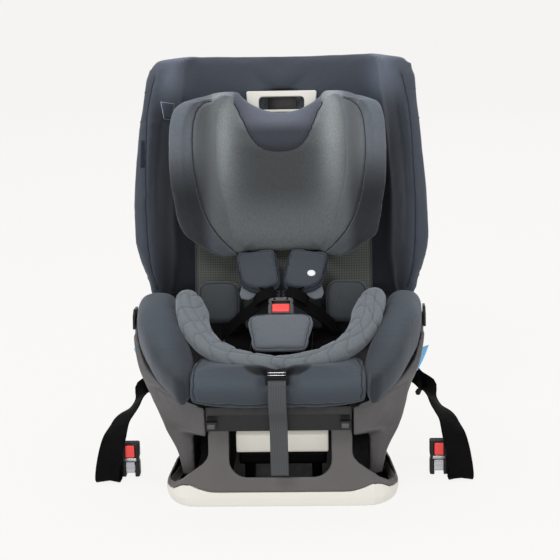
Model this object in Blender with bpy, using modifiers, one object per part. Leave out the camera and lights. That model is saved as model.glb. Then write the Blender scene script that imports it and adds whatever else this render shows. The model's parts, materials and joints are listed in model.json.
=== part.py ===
"""Convertible child car seat: functional model of its structure.

Metres, +Z up. The seat faces -Y. The origin is on the floor under the centre
of the seat. The seat reclines about PIVOT; its runners and the base's tracks
are arcs about that same line.
"""
import bpy
import bmesh
from math import sin, cos, sqrt, pi, radians, atan2, exp
from mathutils import Vector, Matrix

# ---------------------------------------------------------------- dimensions
PIVOT = (0.0, 0.0, 0.330)        # recline axis, along X
R_RUN_OUT = 0.2250               # runner outer radius about the pivot
R_RUN_IN = 0.2130
R_TRACK = 0.2256                 # track radius: 0.6 mm running clearance
GAP = 0.0004                     # gap between pieces that touch

BASE_HALF = 0.1905               # base half width at the foot
BASE_FRONT = -0.2050
BASE_REAR = 0.2620
SKIRT_H = 0.0245
UPRIGHT_IN = 0.0810              # front uprights, inner and outer face
UPRIGHT_OUT = 0.1140
UPRIGHT_TOP = 0.1270
FLANK_TOP = 0.0700

BACK_Y0, BACK_Z0 = 0.0850, 0.2800   # front of the back pad at this height
LEAN = 0.2773                       # tan of the back's lean, about 15.5 degrees
SLIDE = Vector((0.0, LEAN, 1.0)).normalized()   # headrest travel direction
TRAVEL = 0.120

WEB = 0.040                      # anchor webbing width
WEB_T = 0.0022
ADJ_WEB = 0.028                  # adjuster strap width


def back_y(z):
    return BACK_Y0 + (z - BACK_Z0) * LEAN


# ------------------------------------------------------------------- set-up
for ob in list(bpy.data.objects):
    bpy.data.objects.remove(ob, do_unlink=True)
for me in list(bpy.data.meshes):
    bpy.data.meshes.remove(me)

scene = bpy.context.scene
parts = bpy.data.collections.new("convertible_car_seat")
tools = bpy.data.collections.new("cutters")
scene.collection.children.link(parts)
scene.collection.children.link(tools)


def srgb(r, g, b):
    def lin(c):
        c /= 255.0
        return c / 12.92 if c <= 0.04045 else ((c + 0.055) / 1.055) ** 2.4
    return (lin(r), lin(g), lin(b), 1.0)


def material(name, rgb, rough=0.6, metal=0.0):
    m = bpy.data.materials.new(name)
    m.use_nodes = True
    bsdf = m.node_tree.nodes["Principled BSDF"]
    bsdf.inputs["Base Color"].default_value = srgb(*rgb)
    bsdf.inputs["Roughness"].default_value = rough
    bsdf.inputs["Metallic"].default_value = metal
    m.diffuse_color = srgb(*rgb)
    return m


M_DARK = material("dark_plastic", (84, 82, 82), 0.55)
M_BLACK = material("black_plastic", (32, 32, 34), 0.5)
M_CREAM = material("pale_plastic", (231, 228, 218), 0.45)
M_NAVY = material("navy_fabric", (68, 73, 82), 0.9)
M_GREY = material("grey_fabric", (100, 105, 108), 0.9)
M_LIGHT = material("light_fabric", (122, 128, 131), 0.92)
M_MESH = material("mesh_fabric", (80, 85, 78), 0.9)
M_WEB = material("webbing", (28, 28, 30), 0.8)
M_GWEB = material("grey_webbing", (78, 80, 82), 0.8)
M_RED = material("red_plastic", (226, 70, 66), 0.35)
M_STEEL = material("steel", (176, 178, 182), 0.3, 1.0)
M_RUBBER = material("rubber", (22, 22, 22), 0.85)
M_TAG = material("tag_fabric", (190, 220, 240), 0.8)


def link(ob, mat, coll=None):
    (coll or parts).objects.link(ob)
    if mat:
        ob.data.materials.clear()
        ob.data.materials.append(mat)
    return ob


def from_bmesh(name, bm, mat, coll=None):
    bmesh.ops.recalc_face_normals(bm, faces=bm.faces[:])
    if all(len(e.link_faces) == 2 for e in bm.edges) and bm.calc_volume(signed=True) < 0:
        bmesh.ops.reverse_faces(bm, faces=bm.faces[:])
    me = bpy.data.meshes.new(name)
    bm.to_mesh(me)
    bm.free()
    return link(bpy.data.objects.new(name, me), mat, coll)


def smooth(ob, angle=32):
    ob.data.shade_smooth()
    ob.data.set_sharp_from_angle(angle=radians(angle))
    return ob


def box(name, lo, hi, mat, bevel=0.0, seg=2, coll=None):
    """An axis-aligned box from corner to corner, its edges bevelled."""
    bm = bmesh.new()
    bmesh.ops.create_cube(bm, size=1.0)
    size = [hi[i] - lo[i] for i in range(3)]
    bmesh.ops.scale(bm, vec=size, verts=bm.verts)
    ob = from_bmesh(name, bm, mat, coll)
    ob.location = [(hi[i] + lo[i]) / 2 for i in range(3)]
    if bevel > 0:
        add_bevel(ob, bevel, seg)
    return ob


def turned_box(name, lo, hi, place, mat, bevel=0.0, seg=2, coll=None):
    """A box given in its own axes, put in place by a matrix."""
    ob = box(name, lo, hi, mat, bevel, seg, coll)
    ob.matrix_world = place @ Matrix.Translation([(hi[i] + lo[i]) / 2 for i in range(3)])
    return ob


def add_bevel(ob, width, seg=2, angle=30):
    b = ob.modifiers.new("bevel", "BEVEL")
    b.width = width
    b.segments = seg
    b.limit_method = "ANGLE"
    b.angle_limit = radians(angle)
    return b


def cylinder(name, r, p0, p1, mat, n=20, coll=None):
    """A round bar from p0 to p1."""
    p0, p1 = Vector(p0), Vector(p1)
    bm = bmesh.new()
    bmesh.ops.create_cone(bm, cap_ends=True, segments=n, radius1=r, radius2=r,
                          depth=(p1 - p0).length)
    ob = from_bmesh(name, bm, mat, coll)
    ob.location = (p0 + p1) / 2
    ob.rotation_mode = "QUATERNION"
    ob.rotation_quaternion = (p1 - p0).to_track_quat("Z", "Y")
    return smooth(ob)


def prism(name, outline, axis, lo, hi, mat, coll=None):
    """A flat outline, extruded along axis from lo to hi.

    axis "X": the outline is (y, z); "Y": (x, z); "Z": (x, y).
    """
    cu = bpy.data.curves.new(name, "CURVE")
    cu.dimensions = "2D"
    cu.fill_mode = "BOTH"
    cu.extrude = (hi - lo) / 2
    sp = cu.splines.new("POLY")
    sp.points.add(len(outline) - 1)
    for p, (a, b) in zip(sp.points, outline):
        p.co = (a, b, 0, 1)
    sp.use_cyclic_u = True
    tmp = bpy.data.objects.new(name + "_outline", cu)
    tools.objects.link(tmp)
    mid = (hi + lo) / 2
    if axis == "X":
        m = Matrix(((0, 0, 1, mid), (1, 0, 0, 0), (0, 1, 0, 0), (0, 0, 0, 1)))
    elif axis == "Y":
        m = Matrix(((1, 0, 0, 0), (0, 0, -1, mid), (0, 1, 0, 0), (0, 0, 0, 1)))
    else:
        m = Matrix(((1, 0, 0, 0), (0, 1, 0, 0), (0, 0, 1, mid), (0, 0, 0, 1)))
    tmp.matrix_world = m
    bpy.context.view_layer.update()
    deps = bpy.context.evaluated_depsgraph_get()
    me = bpy.data.meshes.new_from_object(tmp.evaluated_get(deps))
    me.name = name
    bm = bmesh.new()
    bm.from_mesh(me)
    bmesh.ops.remove_doubles(bm, verts=bm.verts, dist=0.00001)
    bmesh.ops.recalc_face_normals(bm, faces=bm.faces[:])
    bm.to_mesh(me)
    bm.free()
    bpy.data.objects.remove(tmp, do_unlink=True)
    ob = link(bpy.data.objects.new(name, me), mat, coll)
    ob.matrix_world = m
    return ob


def cutter(ob):
    ob.hide_render = True
    ob.display_type = "WIRE"
    return ob


def boolean(ob, other, op="DIFFERENCE"):
    b = ob.modifiers.new("bool_" + other.name, "BOOLEAN")
    b.operation = op
    b.object = other
    b.solver = "EXACT"
    return ob


def arc(cx, cy, r, a0, a1, n):
    return [(cx + r * cos(radians(a0 + (a1 - a0) * i / n)),
             cy + r * sin(radians(a0 + (a1 - a0) * i / n))) for i in range(n + 1)]


def loft(name, rings, mat, coll=None):
    """A closed body through rings of equal point count, its ends capped."""
    bm = bmesh.new()
    vs = [[bm.verts.new(p) for p in ring] for ring in rings]
    n = len(vs[0])
    for a, b in zip(vs, vs[1:]):
        for i in range(n):
            j = (i + 1) % n
            bm.faces.new((a[i], a[j], b[j], b[i]))
    bm.faces.new(vs[0])
    bm.faces.new(vs[-1])
    return from_bmesh(name, bm, mat, coll)


def wall_loft(name, levels, mat, coll=None):
    """A closed body between two open surfaces, given level by level.

    Each level is a list of (outer point, inner point).
    """
    bm = bmesh.new()
    out = [[bm.verts.new(p[0]) for p in lv] for lv in levels]
    inn = [[bm.verts.new(p[1]) for p in lv] for lv in levels]
    rows, cols = len(levels), len(levels[0])
    for k in range(rows - 1):
        for i in range(cols - 1):
            bm.faces.new((out[k][i], out[k][i + 1], out[k + 1][i + 1], out[k + 1][i]))
            bm.faces.new((inn[k][i + 1], inn[k][i], inn[k + 1][i], inn[k + 1][i + 1]))
        bm.faces.new((inn[k][0], out[k][0], out[k + 1][0], inn[k + 1][0]))
        bm.faces.new((out[k][-1], inn[k][-1], inn[k + 1][-1], out[k + 1][-1]))
    for i in range(cols - 1):
        bm.faces.new((out[0][i + 1], out[0][i], inn[0][i], inn[0][i + 1]))
        bm.faces.new((out[-1][i], out[-1][i + 1], inn[-1][i + 1], inn[-1][i]))
    return from_bmesh(name, bm, mat, coll)


def smooth_path(points, n):
    """n + 1 points on a Catmull-Rom curve through points, evenly spread."""
    P = [Vector(p) for p in points]
    P = [P[0] * 2 - P[1]] + P + [P[-1] * 2 - P[-2]]
    fine = []
    for i in range(1, len(P) - 2):
        for k in range(24):
            t = k / 24
            a, b, c, d = P[i - 1], P[i], P[i + 1], P[i + 2]
            fine.append(0.5 * ((2 * b) + (c - a) * t + (2 * a - 5 * b + 4 * c - d) * t * t
                               + (3 * b - a - 3 * c + d) * t ** 3))
    fine.append(P[-2])
    s = [0.0]
    for a, b in zip(fine, fine[1:]):
        s.append(s[-1] + (b - a).length)
    out, j = [], 0
    for k in range(n + 1):
        want = s[-1] * k / n
        while j < len(s) - 2 and s[j + 1] < want:
            j += 1
        f = (want - s[j]) / max(s[j + 1] - s[j], 1e-9)
        out.append(fine[j].lerp(fine[j + 1], min(max(f, 0), 1)))
    return out


def ribbon(name, centre, across, width, thick, mat):
    """A flat strap: an open strip along centre, given its thickness by Solidify."""
    bm = bmesh.new()
    rows = []
    for c, a in zip(centre, across):
        a = Vector(a).normalized() * (width / 2)
        rows.append((bm.verts.new(c - a), bm.verts.new(c + a)))
    for (a0, a1), (b0, b1) in zip(rows, rows[1:]):
        bm.faces.new((a0, a1, b1, b0))
    ob = from_bmesh(name, bm, mat)
    s = ob.modifiers.new("thickness", "SOLIDIFY")
    s.thickness = thick
    s.offset = 0.0
    return ob


def tube(name, pts, radii, mat, n=12, flat=1.0, up=(0, 0, 1)):
    """A soft roll along pts; radii may vary; flat squeezes it along up."""
    rings = []
    up = Vector(up)
    for i, p in enumerate(pts):
        t = (pts[min(i + 1, len(pts) - 1)] - pts[max(i - 1, 0)]).normalized()
        side = t.cross(up).normalized()
        u = side.cross(t).normalized()
        r = radii[i]
        rings.append([p + side * (r * cos(2 * pi * k / n)) + u * (r * flat * sin(2 * pi * k / n))
                      for k in range(n)])
    return smooth(loft(name, rings, mat), 60)


# ==================================================================== BASE
def plan_point(t, half, front, rear, rx=0.048, ry=0.085, rr=0.060):
    """A point on the base's rounded outline; t runs 0..1 anticlockwise from the
    middle of the front edge. Corners are elliptical at the front."""
    f = []
    f.append((0.0, front))
    for i in range(0, 9):
        a = radians(-90 + 90 * i / 8)
        f.append((half - rx + rx * cos(a), front + ry + ry * sin(a)))
    for i in range(0, 7):
        a = radians(90 * i / 6)
        f.append((half - rr + rr * cos(a), rear - rr + rr * sin(a)))
    f.append((0.0, rear))
    full = f + [(-x, y) for x, y in reversed(f[1:-1])]
    full.append(full[0])
    s = [0.0]
    for a, b in zip(full, full[1:]):
        s.append(s[-1] + sqrt((b[0] - a[0]) ** 2 + (b[1] - a[1]) ** 2))
    want = t * s[-1]
    j = 0
    while j < len(s) - 2 and s[j + 1] < want:
        j += 1
    k = (want - s[j]) / (s[j + 1] - s[j])
    return (full[j][0] + (full[j + 1][0] - full[j][0]) * k,
            full[j][1] + (full[j + 1][1] - full[j][1]) * k)


def plan_at(t, z, d=0.0):
    """The base's outer surface, or d inside it: it leans in as it rises."""
    if z < 0.020:
        k = z / 0.020
        half = BASE_HALF - 0.004 * (1 - k) ** 2
        front = BASE_FRONT + 0.003 * (1 - k) ** 2
    else:
        k = (z - 0.020) / 0.050
        half = BASE_HALF - 0.0155 * min(k, 2.0)
        front = BASE_FRONT + 0.004 * min(k, 2.0)
    rear = BASE_REAR - 0.010 * max(0.0, (z - 0.02) / 0.05)
    return plan_point(t, half - d, front + d, rear - d, 0.048 - d, 0.085 - d, 0.060 - d)


def seam_z(x, y):
    """Height of the line between the pale skirt and the dark housing."""
    wave = 0.0120 * exp(-((abs(x) - 0.152) / 0.022) ** 2)
    if y > -0.10:
        wave *= max(0.0, 1 - (y + 0.10) / 0.05)
    return SKIRT_H - (0.004 if abs(x) > 0.17 else 0.0) + wave


def top_z(x, y):
    """Upper edge of the housing wall."""
    if y < -0.150:
        return UPRIGHT_TOP
    k = min(max((y + 0.135) / 0.08, 0.0), 1.0)
    m = min(max((y - 0.100) / 0.12, 0.0), 1.0)
    k, m = k * k * (3 - 2 * k), m * m * (3 - 2 * m)
    return 0.030 + (FLANK_TOP - 0.030) * k + 0.035 * m


def swept_wall(name, profile_at, mat, cols=96):
    """A closed ring: profile_at(t) gives (x, y, z) points of its section."""
    bm = bmesh.new()
    ring = [[bm.verts.new(p) for p in profile_at(i / cols)] for i in range(cols)]
    n = len(ring[0])
    for i in range(cols):
        a, b = ring[i], ring[(i + 1) % cols]
        for k in range(n):
            m = (k + 1) % n
            bm.faces.new((a[k], b[k], b[m], a[m]))
    return from_bmesh(name, bm, mat)


# pale skirt: the wall and the flat foot ring inside it, swept round the outline
def skirt_profile(t):
    x0, y0 = plan_at(t, 0.02)
    zs = seam_z(x0, y0)
    return [plan_at(t, z, d) + (z,) for z, d in
            [(0.0, 0.0), (0.006, 0.0), (0.014, 0.0), (zs, 0.0), (zs, 0.004), (0.0042, 0.004),
             (0.0042, 0.026), (0.0, 0.026)]]


smooth(swept_wall("base_skirt", skirt_profile, M_CREAM))


# dark housing wall with its front window and the two side notches
def housing_profile(t):
    x0, y0 = plan_at(t, 0.02)
    z0, z1 = seam_z(x0, y0) + GAP, top_z(x0, y0)
    zs = [z0 + (z1 - z0) * k / 4 for k in range(5)]
    return ([plan_at(t, z) + (z,) for z in zs]
            + [plan_at(t, z, 0.004) + (z,) for z in reversed(zs)])


housing = swept_wall("base_housing", housing_profile, M_DARK)
window = ([(-UPRIGHT_IN, 0.20)] + arc(-UPRIGHT_IN + 0.028, 0.049 + 0.028, 0.028, 180, 270, 6)
          + arc(UPRIGHT_IN - 0.028, 0.049 + 0.028, 0.028, -90, 0, 6) + [(UPRIGHT_IN, 0.20)])
boolean(housing, cutter(prism("window_cutter", window, "Y", -0.26, -0.12, None, tools)))
for side, tag in ((-1, "L"), (1, "R")):
    notch = [(UPRIGHT_OUT, 0.20), (UPRIGHT_OUT, 0.088), (0.1165, 0.079), (0.124, 0.071),
             (0.135, 0.0625), (0.146, 0.054), (0.158, 0.0435), (0.170, 0.0345), (0.180, 0.0305),
             (0.215, 0.0300), (0.215, 0.20)]
    if side < 0:
        notch = [(-x, z) for x, z in reversed(notch)]
    boolean(housing, cutter(prism("notch_cutter_" + tag, notch, "Y", -0.26, -0.130, None, tools)))
smooth(housing)

# floor plate on the skirt's foot ring
pan_outline = [plan_at(i / 48, 0.0084, 0.0075) for i in range(48)]
prism("base_pan", pan_outline, "Z", 0.0046, 0.0084, M_BLACK)


# recline tracks: plates whose top edge is an arc about the pivot
def track_top(y):
    z = PIVOT[2] - sqrt(R_TRACK ** 2 - y * y)
    return min(z, 0.112) if y < 0 else min(z, 0.160)


for side, tag in ((-1, "L"), (1, "R")):
    ys = [-0.192 + (0.192 + 0.168) * i / 24 for i in range(25)]
    outline = [(-0.192, 0.0088), (0.246, 0.0088), (0.246, 0.070), (0.190, 0.135)]
    outline += [(y, track_top(y)) for y in reversed(ys)]
    a, b = sorted((side * 0.0850, side * 0.1125))
    tr = prism("recline_track_" + tag, outline, "X", a, b, M_BLACK)
    # plate on the track's outer face, where the anchor webbing leaves the base
    a, b = sorted((side * 0.1110, side * 0.1230))
    boolean(tr, cutter(box("anchor_plate_" + tag, (a, 0.118, 0.100), (b, 0.158, 0.146), None,
                           0.002, 2, tools)), "UNION")

# release handle behind the window, its pull rods and lock bar
handle = [(-0.1240, 0.0780), (-0.1240, 0.0930), (-0.1180, 0.0960), (-0.0960, 0.0960),
          (-0.0960, 0.0690), (-0.1080, 0.0625), (-0.1200, 0.0625), (-0.1235, 0.0660)]
rh = prism("recline_handle", handle, "X", -0.0745, 0.0745, M_CREAM)
add_bevel(rh, 0.0015, 2)
lock = cylinder("recline_lock_bar", 0.006, (-0.080, -0.0294, 0.0985), (0.080, -0.0294, 0.0985),
                M_STEEL, 16)
for side, tag in ((-1, "L"), (1, "R")):
    boolean(lock, cutter(box("pull_rod_" + tag, (side * 0.060 - 0.004, -0.0956, 0.0880),
                             (side * 0.060 + 0.004, -0.0290, 0.0955), None, 0.0, 2, tools)),
            "UNION")
latch = box("recline_latch_box", (-0.0715, -0.1100, 0.0380), (0.0715, -0.0450, 0.0600), M_BLACK,
            0.003)
for side, tag in ((-1, "L"), (1, "R")):
    boolean(latch, cutter(box("latch_post_" + tag, (side * 0.055 - 0.008, -0.100, 0.0088),
                              (side * 0.055 + 0.008, -0.055, 0.0400), None, 0.0, 2, tools)),
            "UNION")

# ==================================================================== SEAT
# runners: arcs under the seat that ride on the tracks, joined by a cross plate
# that carries the toothed rack
runner_out = (arc(PIVOT[1], PIVOT[2], R_RUN_OUT, -90 - 35, -90 + 35, 20)
              + arc(PIVOT[1], PIVOT[2], R_RUN_IN, -90 + 35, -90 - 35, 20))
frame_plate = (arc(PIVOT[1], PIVOT[2], 0.2140, -90 - 24, -90 + 24, 14)
               + arc(PIVOT[1], PIVOT[2], 0.2112, -90 + 24, -90 - 24, 14))
teeth = [(PIVOT[1] + (0.2210 if i % 2 else 0.2165) * cos(radians(-110 + 40 * i / 22)),
          PIVOT[2] + (0.2210 if i % 2 else 0.2165) * sin(radians(-110 + 40 * i / 22)))
         for i in range(23)] + arc(PIVOT[1], PIVOT[2], 0.2126, -70, -110, 12)
runner = prism("recline_runner", frame_plate, "X", -0.1090, 0.1090, M_STEEL)
for side, tag in ((-1, "L"), (1, "R")):
    a, b = sorted((side * 0.0880, side * 0.1100))
    boolean(runner, cutter(prism("runner_arc_" + tag, runner_out, "X", a, b, None, tools)),
            "UNION")
boolean(runner, cutter(prism("rack_teeth", teeth, "X", -0.020, 0.020, None, tools)), "UNION")

# seat shell: floor and rear wall of the bucket, with low side flanges
floor_path = [(-0.2212, 0.1760), (-0.2212, 0.1645), (-0.1900, 0.1635), (-0.1350, 0.1650),
              (-0.1000, 0.1440), (-0.0500, 0.1258), (0.0000, 0.1198), (0.0500, 0.1258),
              (0.0760, 0.1335), (0.0900, 0.1500), (0.0950, 0.1750), (0.0985, 0.2100),
              (0.1060, 0.2640)]


def shell_levels():
    levels = []
    for i, (y, z) in enumerate(floor_path):
        a = Vector(floor_path[max(i - 1, 0)])
        b = Vector(floor_path[min(i + 1, len(floor_path) - 1)])
        t = (b - a).normalized()
        n = Vector((-t[1], t[0]))            # into the bucket
        th, fl = 0.0035, 0.026 if y < 0.09 else 0.014
        outer, inner = [], []
        for x, h in ((-0.1125, fl), (-0.1125, 0.0), (-0.06, 0.0), (0.0, 0.0), (0.06, 0.0),
                     (0.1125, 0.0), (0.1125, fl)):
            if i == 0:
                h = min(h, 0.010)
            outer.append(Vector((x, y + n[0] * h, z + n[1] * h)))
            ix = x - (th if x > 0.1 else -th if x < -0.1 else 0.0)
            hh = h if h > 0 else th
            inner.append(Vector((ix, y + n[0] * hh, z + n[1] * hh)))
        levels.append(list(zip(outer, inner)))
    return levels


shell = wall_loft("seat_shell", shell_levels(), M_DARK)
smooth(shell)

# front panel with its crease, and the two cover clips
panel = [(-0.2224, 0.1340), (-0.2258, 0.1340), (-0.2318, 0.1590), (-0.2368, 0.1640),
         (-0.2338, 0.1764), (-0.2224, 0.1764)]
fp = prism("front_panel", panel, "X", -0.1130, 0.1130, M_DARK)
for side, tag in ((-1, "L"), (1, "R")):
    boolean(fp, cutter(box("cover_clip_" + tag, (side * 0.1055 - 0.0068, -0.2345, 0.1370),
                           (side * 0.1055 + 0.0068, -0.2260, 0.1455), None, 0.0012, 2, tools)),
            "UNION")

# side arms: each is a loft of level sections, narrow at the foot
#        z      xi      yfi      xo      yfo     rear
ARM = [(0.0450, 0.1460, -0.1420, 0.1640, -0.1300, -0.0300),
       (0.0700, 0.1455, -0.1450, 0.1665, -0.1290, -0.0150),
       (0.0950, 0.1435, -0.1500, 0.1765, -0.1280, 0.0050),
       (0.1040, 0.1320, -0.1740, 0.1815, -0.1250, 0.0200),
       (0.1120, 0.1180, -0.2000, 0.1865, -0.1220, 0.0400),
       (0.1250, 0.1165, -0.2150, 0.1950, -0.1180, 0.0600),
       (0.1500, 0.1165, -0.2220, 0.2100, -0.1050, 0.0850),
       (0.1720, 0.1165, -0.2240, 0.2220, -0.0920, 0.0980),
       (0.1780, 0.1600, -0.1950, 0.2260, -0.0880, 0.1010),
       (0.1900, 0.1950, -0.1400, 0.2320, -0.0800, 0.1060),
       (0.2050, 0.2220, -0.0850, 0.2380, -0.0650, 0.1090),
       (0.2350, 0.2345, -0.0550, 0.2440, -0.0450, 0.1080),
       (0.2620, 0.2380, -0.0220, 0.2450, -0.0120, 0.0980)]
for side, tag in ((-1, "L"), (1, "R")):
    rings = []
    for z, xi, yfi, xo, yfo, yr in ARM:
        mx, my = (xi + xo) / 2, (yfi + yfo) / 2
        bulge = 0.10 * (xo - xi)
        ring = [(xi, yfi), (mx - 0.25 * (xo - xi), my - 0.25 * (yfo - yfi) - bulge * 0.7),
                (mx, my - bulge), (mx + 0.25 * (xo - xi), my + 0.25 * (yfo - yfi) - bulge * 0.6),
                (xo - 0.0005, yfo), (xo, yfo + 0.02),
                (xo - 0.004, (yfo + yr) / 2 + 0.01), (xo - 0.010 * min(1, (xo - xi) / 0.02), yr),
                ((xi + xo) / 2 + 0.001, yr), (xi, yr), (xi, (yfi + yr) / 2)]
        rings.append([Vector((side * x, y, z)) for x, y in ring])
    arm = loft("side_arm_" + tag, rings, M_DARK)
    smooth(arm, 40)

# belt guides at the top of the arms
for side, tag in ((-1, "L"), (1, "R")):
    a, b = sorted((side * 0.2456, side * 0.2500))
    bg = [(-0.030, 0.246), (0.010, 0.246), (0.022, 0.258), (0.022, 0.272), (-0.012, 0.276),
          (-0.026, 0.268)]
    prism("belt_guide_" + tag, bg, "X", a, b, M_BLACK)


# ------------------------------------------------------------- backrest
def c_path(W, yt, yr, inset, rc):
    """Outer line of a C-shaped section, from the left tip round the back to the
    right tip: the rear is narrower than the tips by inset."""
    half = [(0.0, yr), ((W - inset - rc) * 0.5, yr), (W - inset - rc, yr)]
    for i in range(1, 5):
        a = radians(90 - 75 * i / 4)
        half.append((W - inset - rc + rc * cos(a), yr - rc + rc * sin(a)))
    x0, y0 = half[-1]
    for i in range(1, 6):
        k = i / 5
        half.append((x0 + (W - x0) * k, y0 + (yt - y0) * k))
    return [(-x, y) for x, y in reversed(half[1:])] + half


def c_levels(rows, first, last, off_out=0.0, off_in=None):
    """Levels for wall_loft. rows: (z, W, tip y, rear y, inset, corner, wing
    thickness, back thickness). first..last index the path's points."""
    levels = []
    for z, W, yt, yr, inset, rc, tw, tb in rows:
        P = c_path(W, yt, yr, inset, rc)
        n = len(P)
        lv = []
        for i in range(first, last + 1):
            a = Vector(P[max(i - 1, 0)])
            b = Vector(P[min(i + 1, n - 1)])
            t = (b - a).normalized()
            nrm = Vector((t[1], -t[0]))       # towards the inside of the C
            k = abs(i - (n - 1) / 2) / ((n - 1) / 2)
            th = tb + (tw - tb) * min(1.0, max(0.0, (k - 0.30) / 0.4))
            p = Vector(P[i])
            o = p + nrm * off_out
            q = p + nrm * (th if off_in is None else off_in)
            lv.append((Vector((o[0], o[1], z)), Vector((q[0], q[1], z))))
        levels.append(lv)
    return levels


def back_row(z, W, yt, tw=0.030, tb=0.018, inset=0.030, rc=0.045):
    return (z, W, yt, back_y(z) + 0.0185, inset, rc, tw, tb)


BACK = [back_row(0.270, 0.2270, 0.070, 0.022, 0.018, 0.014, 0.030),
        back_row(0.300, 0.2330, 0.064, 0.024, 0.018, 0.018, 0.034),
        back_row(0.345, 0.2400, 0.044, 0.028, 0.018, 0.026), back_row(0.390, 0.2450, 0.030),
        back_row(0.450, 0.2420, 0.030), back_row(0.505, 0.2370, 0.040),
        back_row(0.560, 0.2300, 0.062), back_row(0.608, 0.2215, 0.092),
        back_row(0.640, 0.2180, 0.120), back_row(0.656, 0.2140, 0.140),
        back_row(0.664, 0.2050, 0.160)]
NP = len(c_path(0.2, 0.0, 0.1, 0.03, 0.04))      # points on a C line
SPLIT = 5                                        # wing runs over this many spans
SLOT = [(-0.024, 0.412), (0.024, 0.412), (0.024, 0.612), (-0.024, 0.612)]

slot_cut = cutter(prism("slot_cutter", SLOT, "Y", 0.05, 0.30, None, tools))


def shrink(levels, end, gap=0.0020):
    """Pull one end of every level back along the path by gap."""
    for lv in levels:
        a, b = (lv[0], lv[1]) if end == 0 else (lv[-1], lv[-2])
        moved = []
        for p, q in zip(a, b):
            moved.append(p + (q - p).normalized() * gap)
        lv[0 if end == 0 else -1] = tuple(moved)
    return levels


centre = shrink(shrink(c_levels(BACK, SPLIT, NP - 1 - SPLIT), 0), 1)
cover = wall_loft("back_cover", centre, M_NAVY)
boolean(cover, slot_cut)
smooth(cover, 50)
for tag, a, b in (("L", 0, SPLIT), ("R", NP - 1 - SPLIT, NP - 1)):
    smooth(wall_loft("back_wing_" + tag, c_levels(BACK, a, b), M_NAVY), 50)

# rigid shell behind the cover
rear_rows = [r for r in BACK if r[0] < 0.660]
rear = wall_loft("back_shell", c_levels(rear_rows, 3, NP - 4, -0.0068, -0.0020), M_DARK)
boolean(rear, slot_cut)
smooth(rear, 50)

# breathable panel on the lower back, in front of the cover
mesh_rows = []
for z in (0.228, 0.270, 0.330, 0.390, 0.450, 0.500):
    y = back_y(z)
    half = 0.150 if z > 0.25 else 0.140
    mesh_rows.append([(Vector((x, y - 0.0005, z)), Vector((x, y - 0.0095, z)))
                      for x in (-half, -half / 2, 0.0, half / 2, half)])
mesh = wall_loft("mesh_back_pad", mesh_rows, M_MESH)
boolean(mesh, slot_cut)

# ------------------------------------------------------------- guide rods
for side, tag in ((-1, "L"), (1, "R")):
    p0 = Vector((side * 0.055, back_y(0.390) + 0.0400, 0.390))
    p1 = p0 + SLIDE * 0.250
    cylinder("guide_rod_" + tag, 0.0050, p0, p1, M_STEEL, 16)


def lean_box(name, centre, size, mat, bevel=0.0, coll=None, seg=2):
    """A box turned to the back's lean."""
    ob = box(name, [-s / 2 for s in size], [s / 2 for s in size], mat, bevel, seg, coll)
    ob.rotation_euler = (-atan2(LEAN, 1.0), 0.0, 0.0)
    ob.location = centre
    return ob


for zz, tag in ((0.388, "lower"), (0.637, "upper")):
    c = Vector((0.0, back_y(zz) + 0.0370, zz))
    br = lean_box("rod_bracket_" + tag, c - Vector((0, 0.0030, 0)), (0.150, 0.0230, 0.018), None,
                  0.003, tools)
    cutter(br)
    for side in (-1, 1):
        rc = cylinder("rod_hole_%s_%d" % (tag, side), 0.0056,
                      Vector((side * 0.055, back_y(zz) + 0.0400, zz)) - SLIDE * 0.03,
                      Vector((side * 0.055, back_y(zz) + 0.0400, zz)) + SLIDE * 0.03,
                      None, 16, tools)
        boolean(br, cutter(rc))
    boolean(rear, br, "UNION")

# ================================================================ HEADREST
HR_OFF = 0.0170          # rear face of the headrest shell, in front of the back


def hr_row(z, W, yt, tw=0.032, tb=0.030, inset=0.034, rc=0.050):
    return (z, W, yt, back_y(z) - HR_OFF - 0.0048, inset, rc, tw, tb)


HEAD = [hr_row(0.353, 0.098, 0.044, 0.022, 0.022, 0.018, 0.030),
        hr_row(0.366, 0.123, 0.036, 0.026, 0.026, 0.024, 0.034),
        hr_row(0.390, 0.146, 0.024, 0.030, 0.030, 0.030, 0.040),
        hr_row(0.430, 0.163, 0.006), hr_row(0.480, 0.1735, -0.006),
        hr_row(0.525, 0.1770, -0.010), hr_row(0.570, 0.1730, 0.000),
        hr_row(0.600, 0.1600, 0.018), hr_row(0.614, 0.1450, 0.034),
        hr_row(0.622, 0.1280, 0.052)]
dip = [(-0.105, 0.70), (-0.085, 0.618)] + [
    (x, 0.584 + 0.034 * (abs(x) / 0.085) ** 2.2) for x in
    (-0.068, -0.05, -0.03, -0.01, 0.01, 0.03, 0.05, 0.068)] + [(0.085, 0.618), (0.105, 0.70)]
dip_cut = cutter(prism("dip_cutter", dip, "Y", -0.10, 0.40, None, tools))
centre = shrink(shrink(c_levels(HEAD, SPLIT, NP - 1 - SPLIT), 0), 1)
pad = wall_loft("headrest_pad", centre, M_GREY)
boolean(pad, dip_cut)
smooth(pad, 50)
for tag, a, b in (("L", 0, SPLIT), ("R", NP - 1 - SPLIT, NP - 1)):
    smooth(wall_loft("headrest_wing_" + tag, c_levels(HEAD, a, b), M_GREY), 50)

# rigid shell behind the headrest pad, with a slot for the handle's stem
hs = wall_loft("headrest_shell", c_levels(HEAD[1:-2], 4, NP - 5, -0.0054, -0.0016), M_DARK)
boolean(hs, cutter(box("shell_dip", (-0.0640, -0.10, 0.5770), (0.0640, 0.40, 0.70), None, 0.0, 2,
                       tools)))
smooth(hs, 50)


# carrier: the neck runs through the slot in the back to the guide rods
def lean_point(z, off, x=0.0):
    return Vector((x, back_y(z) + off, z))


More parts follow.
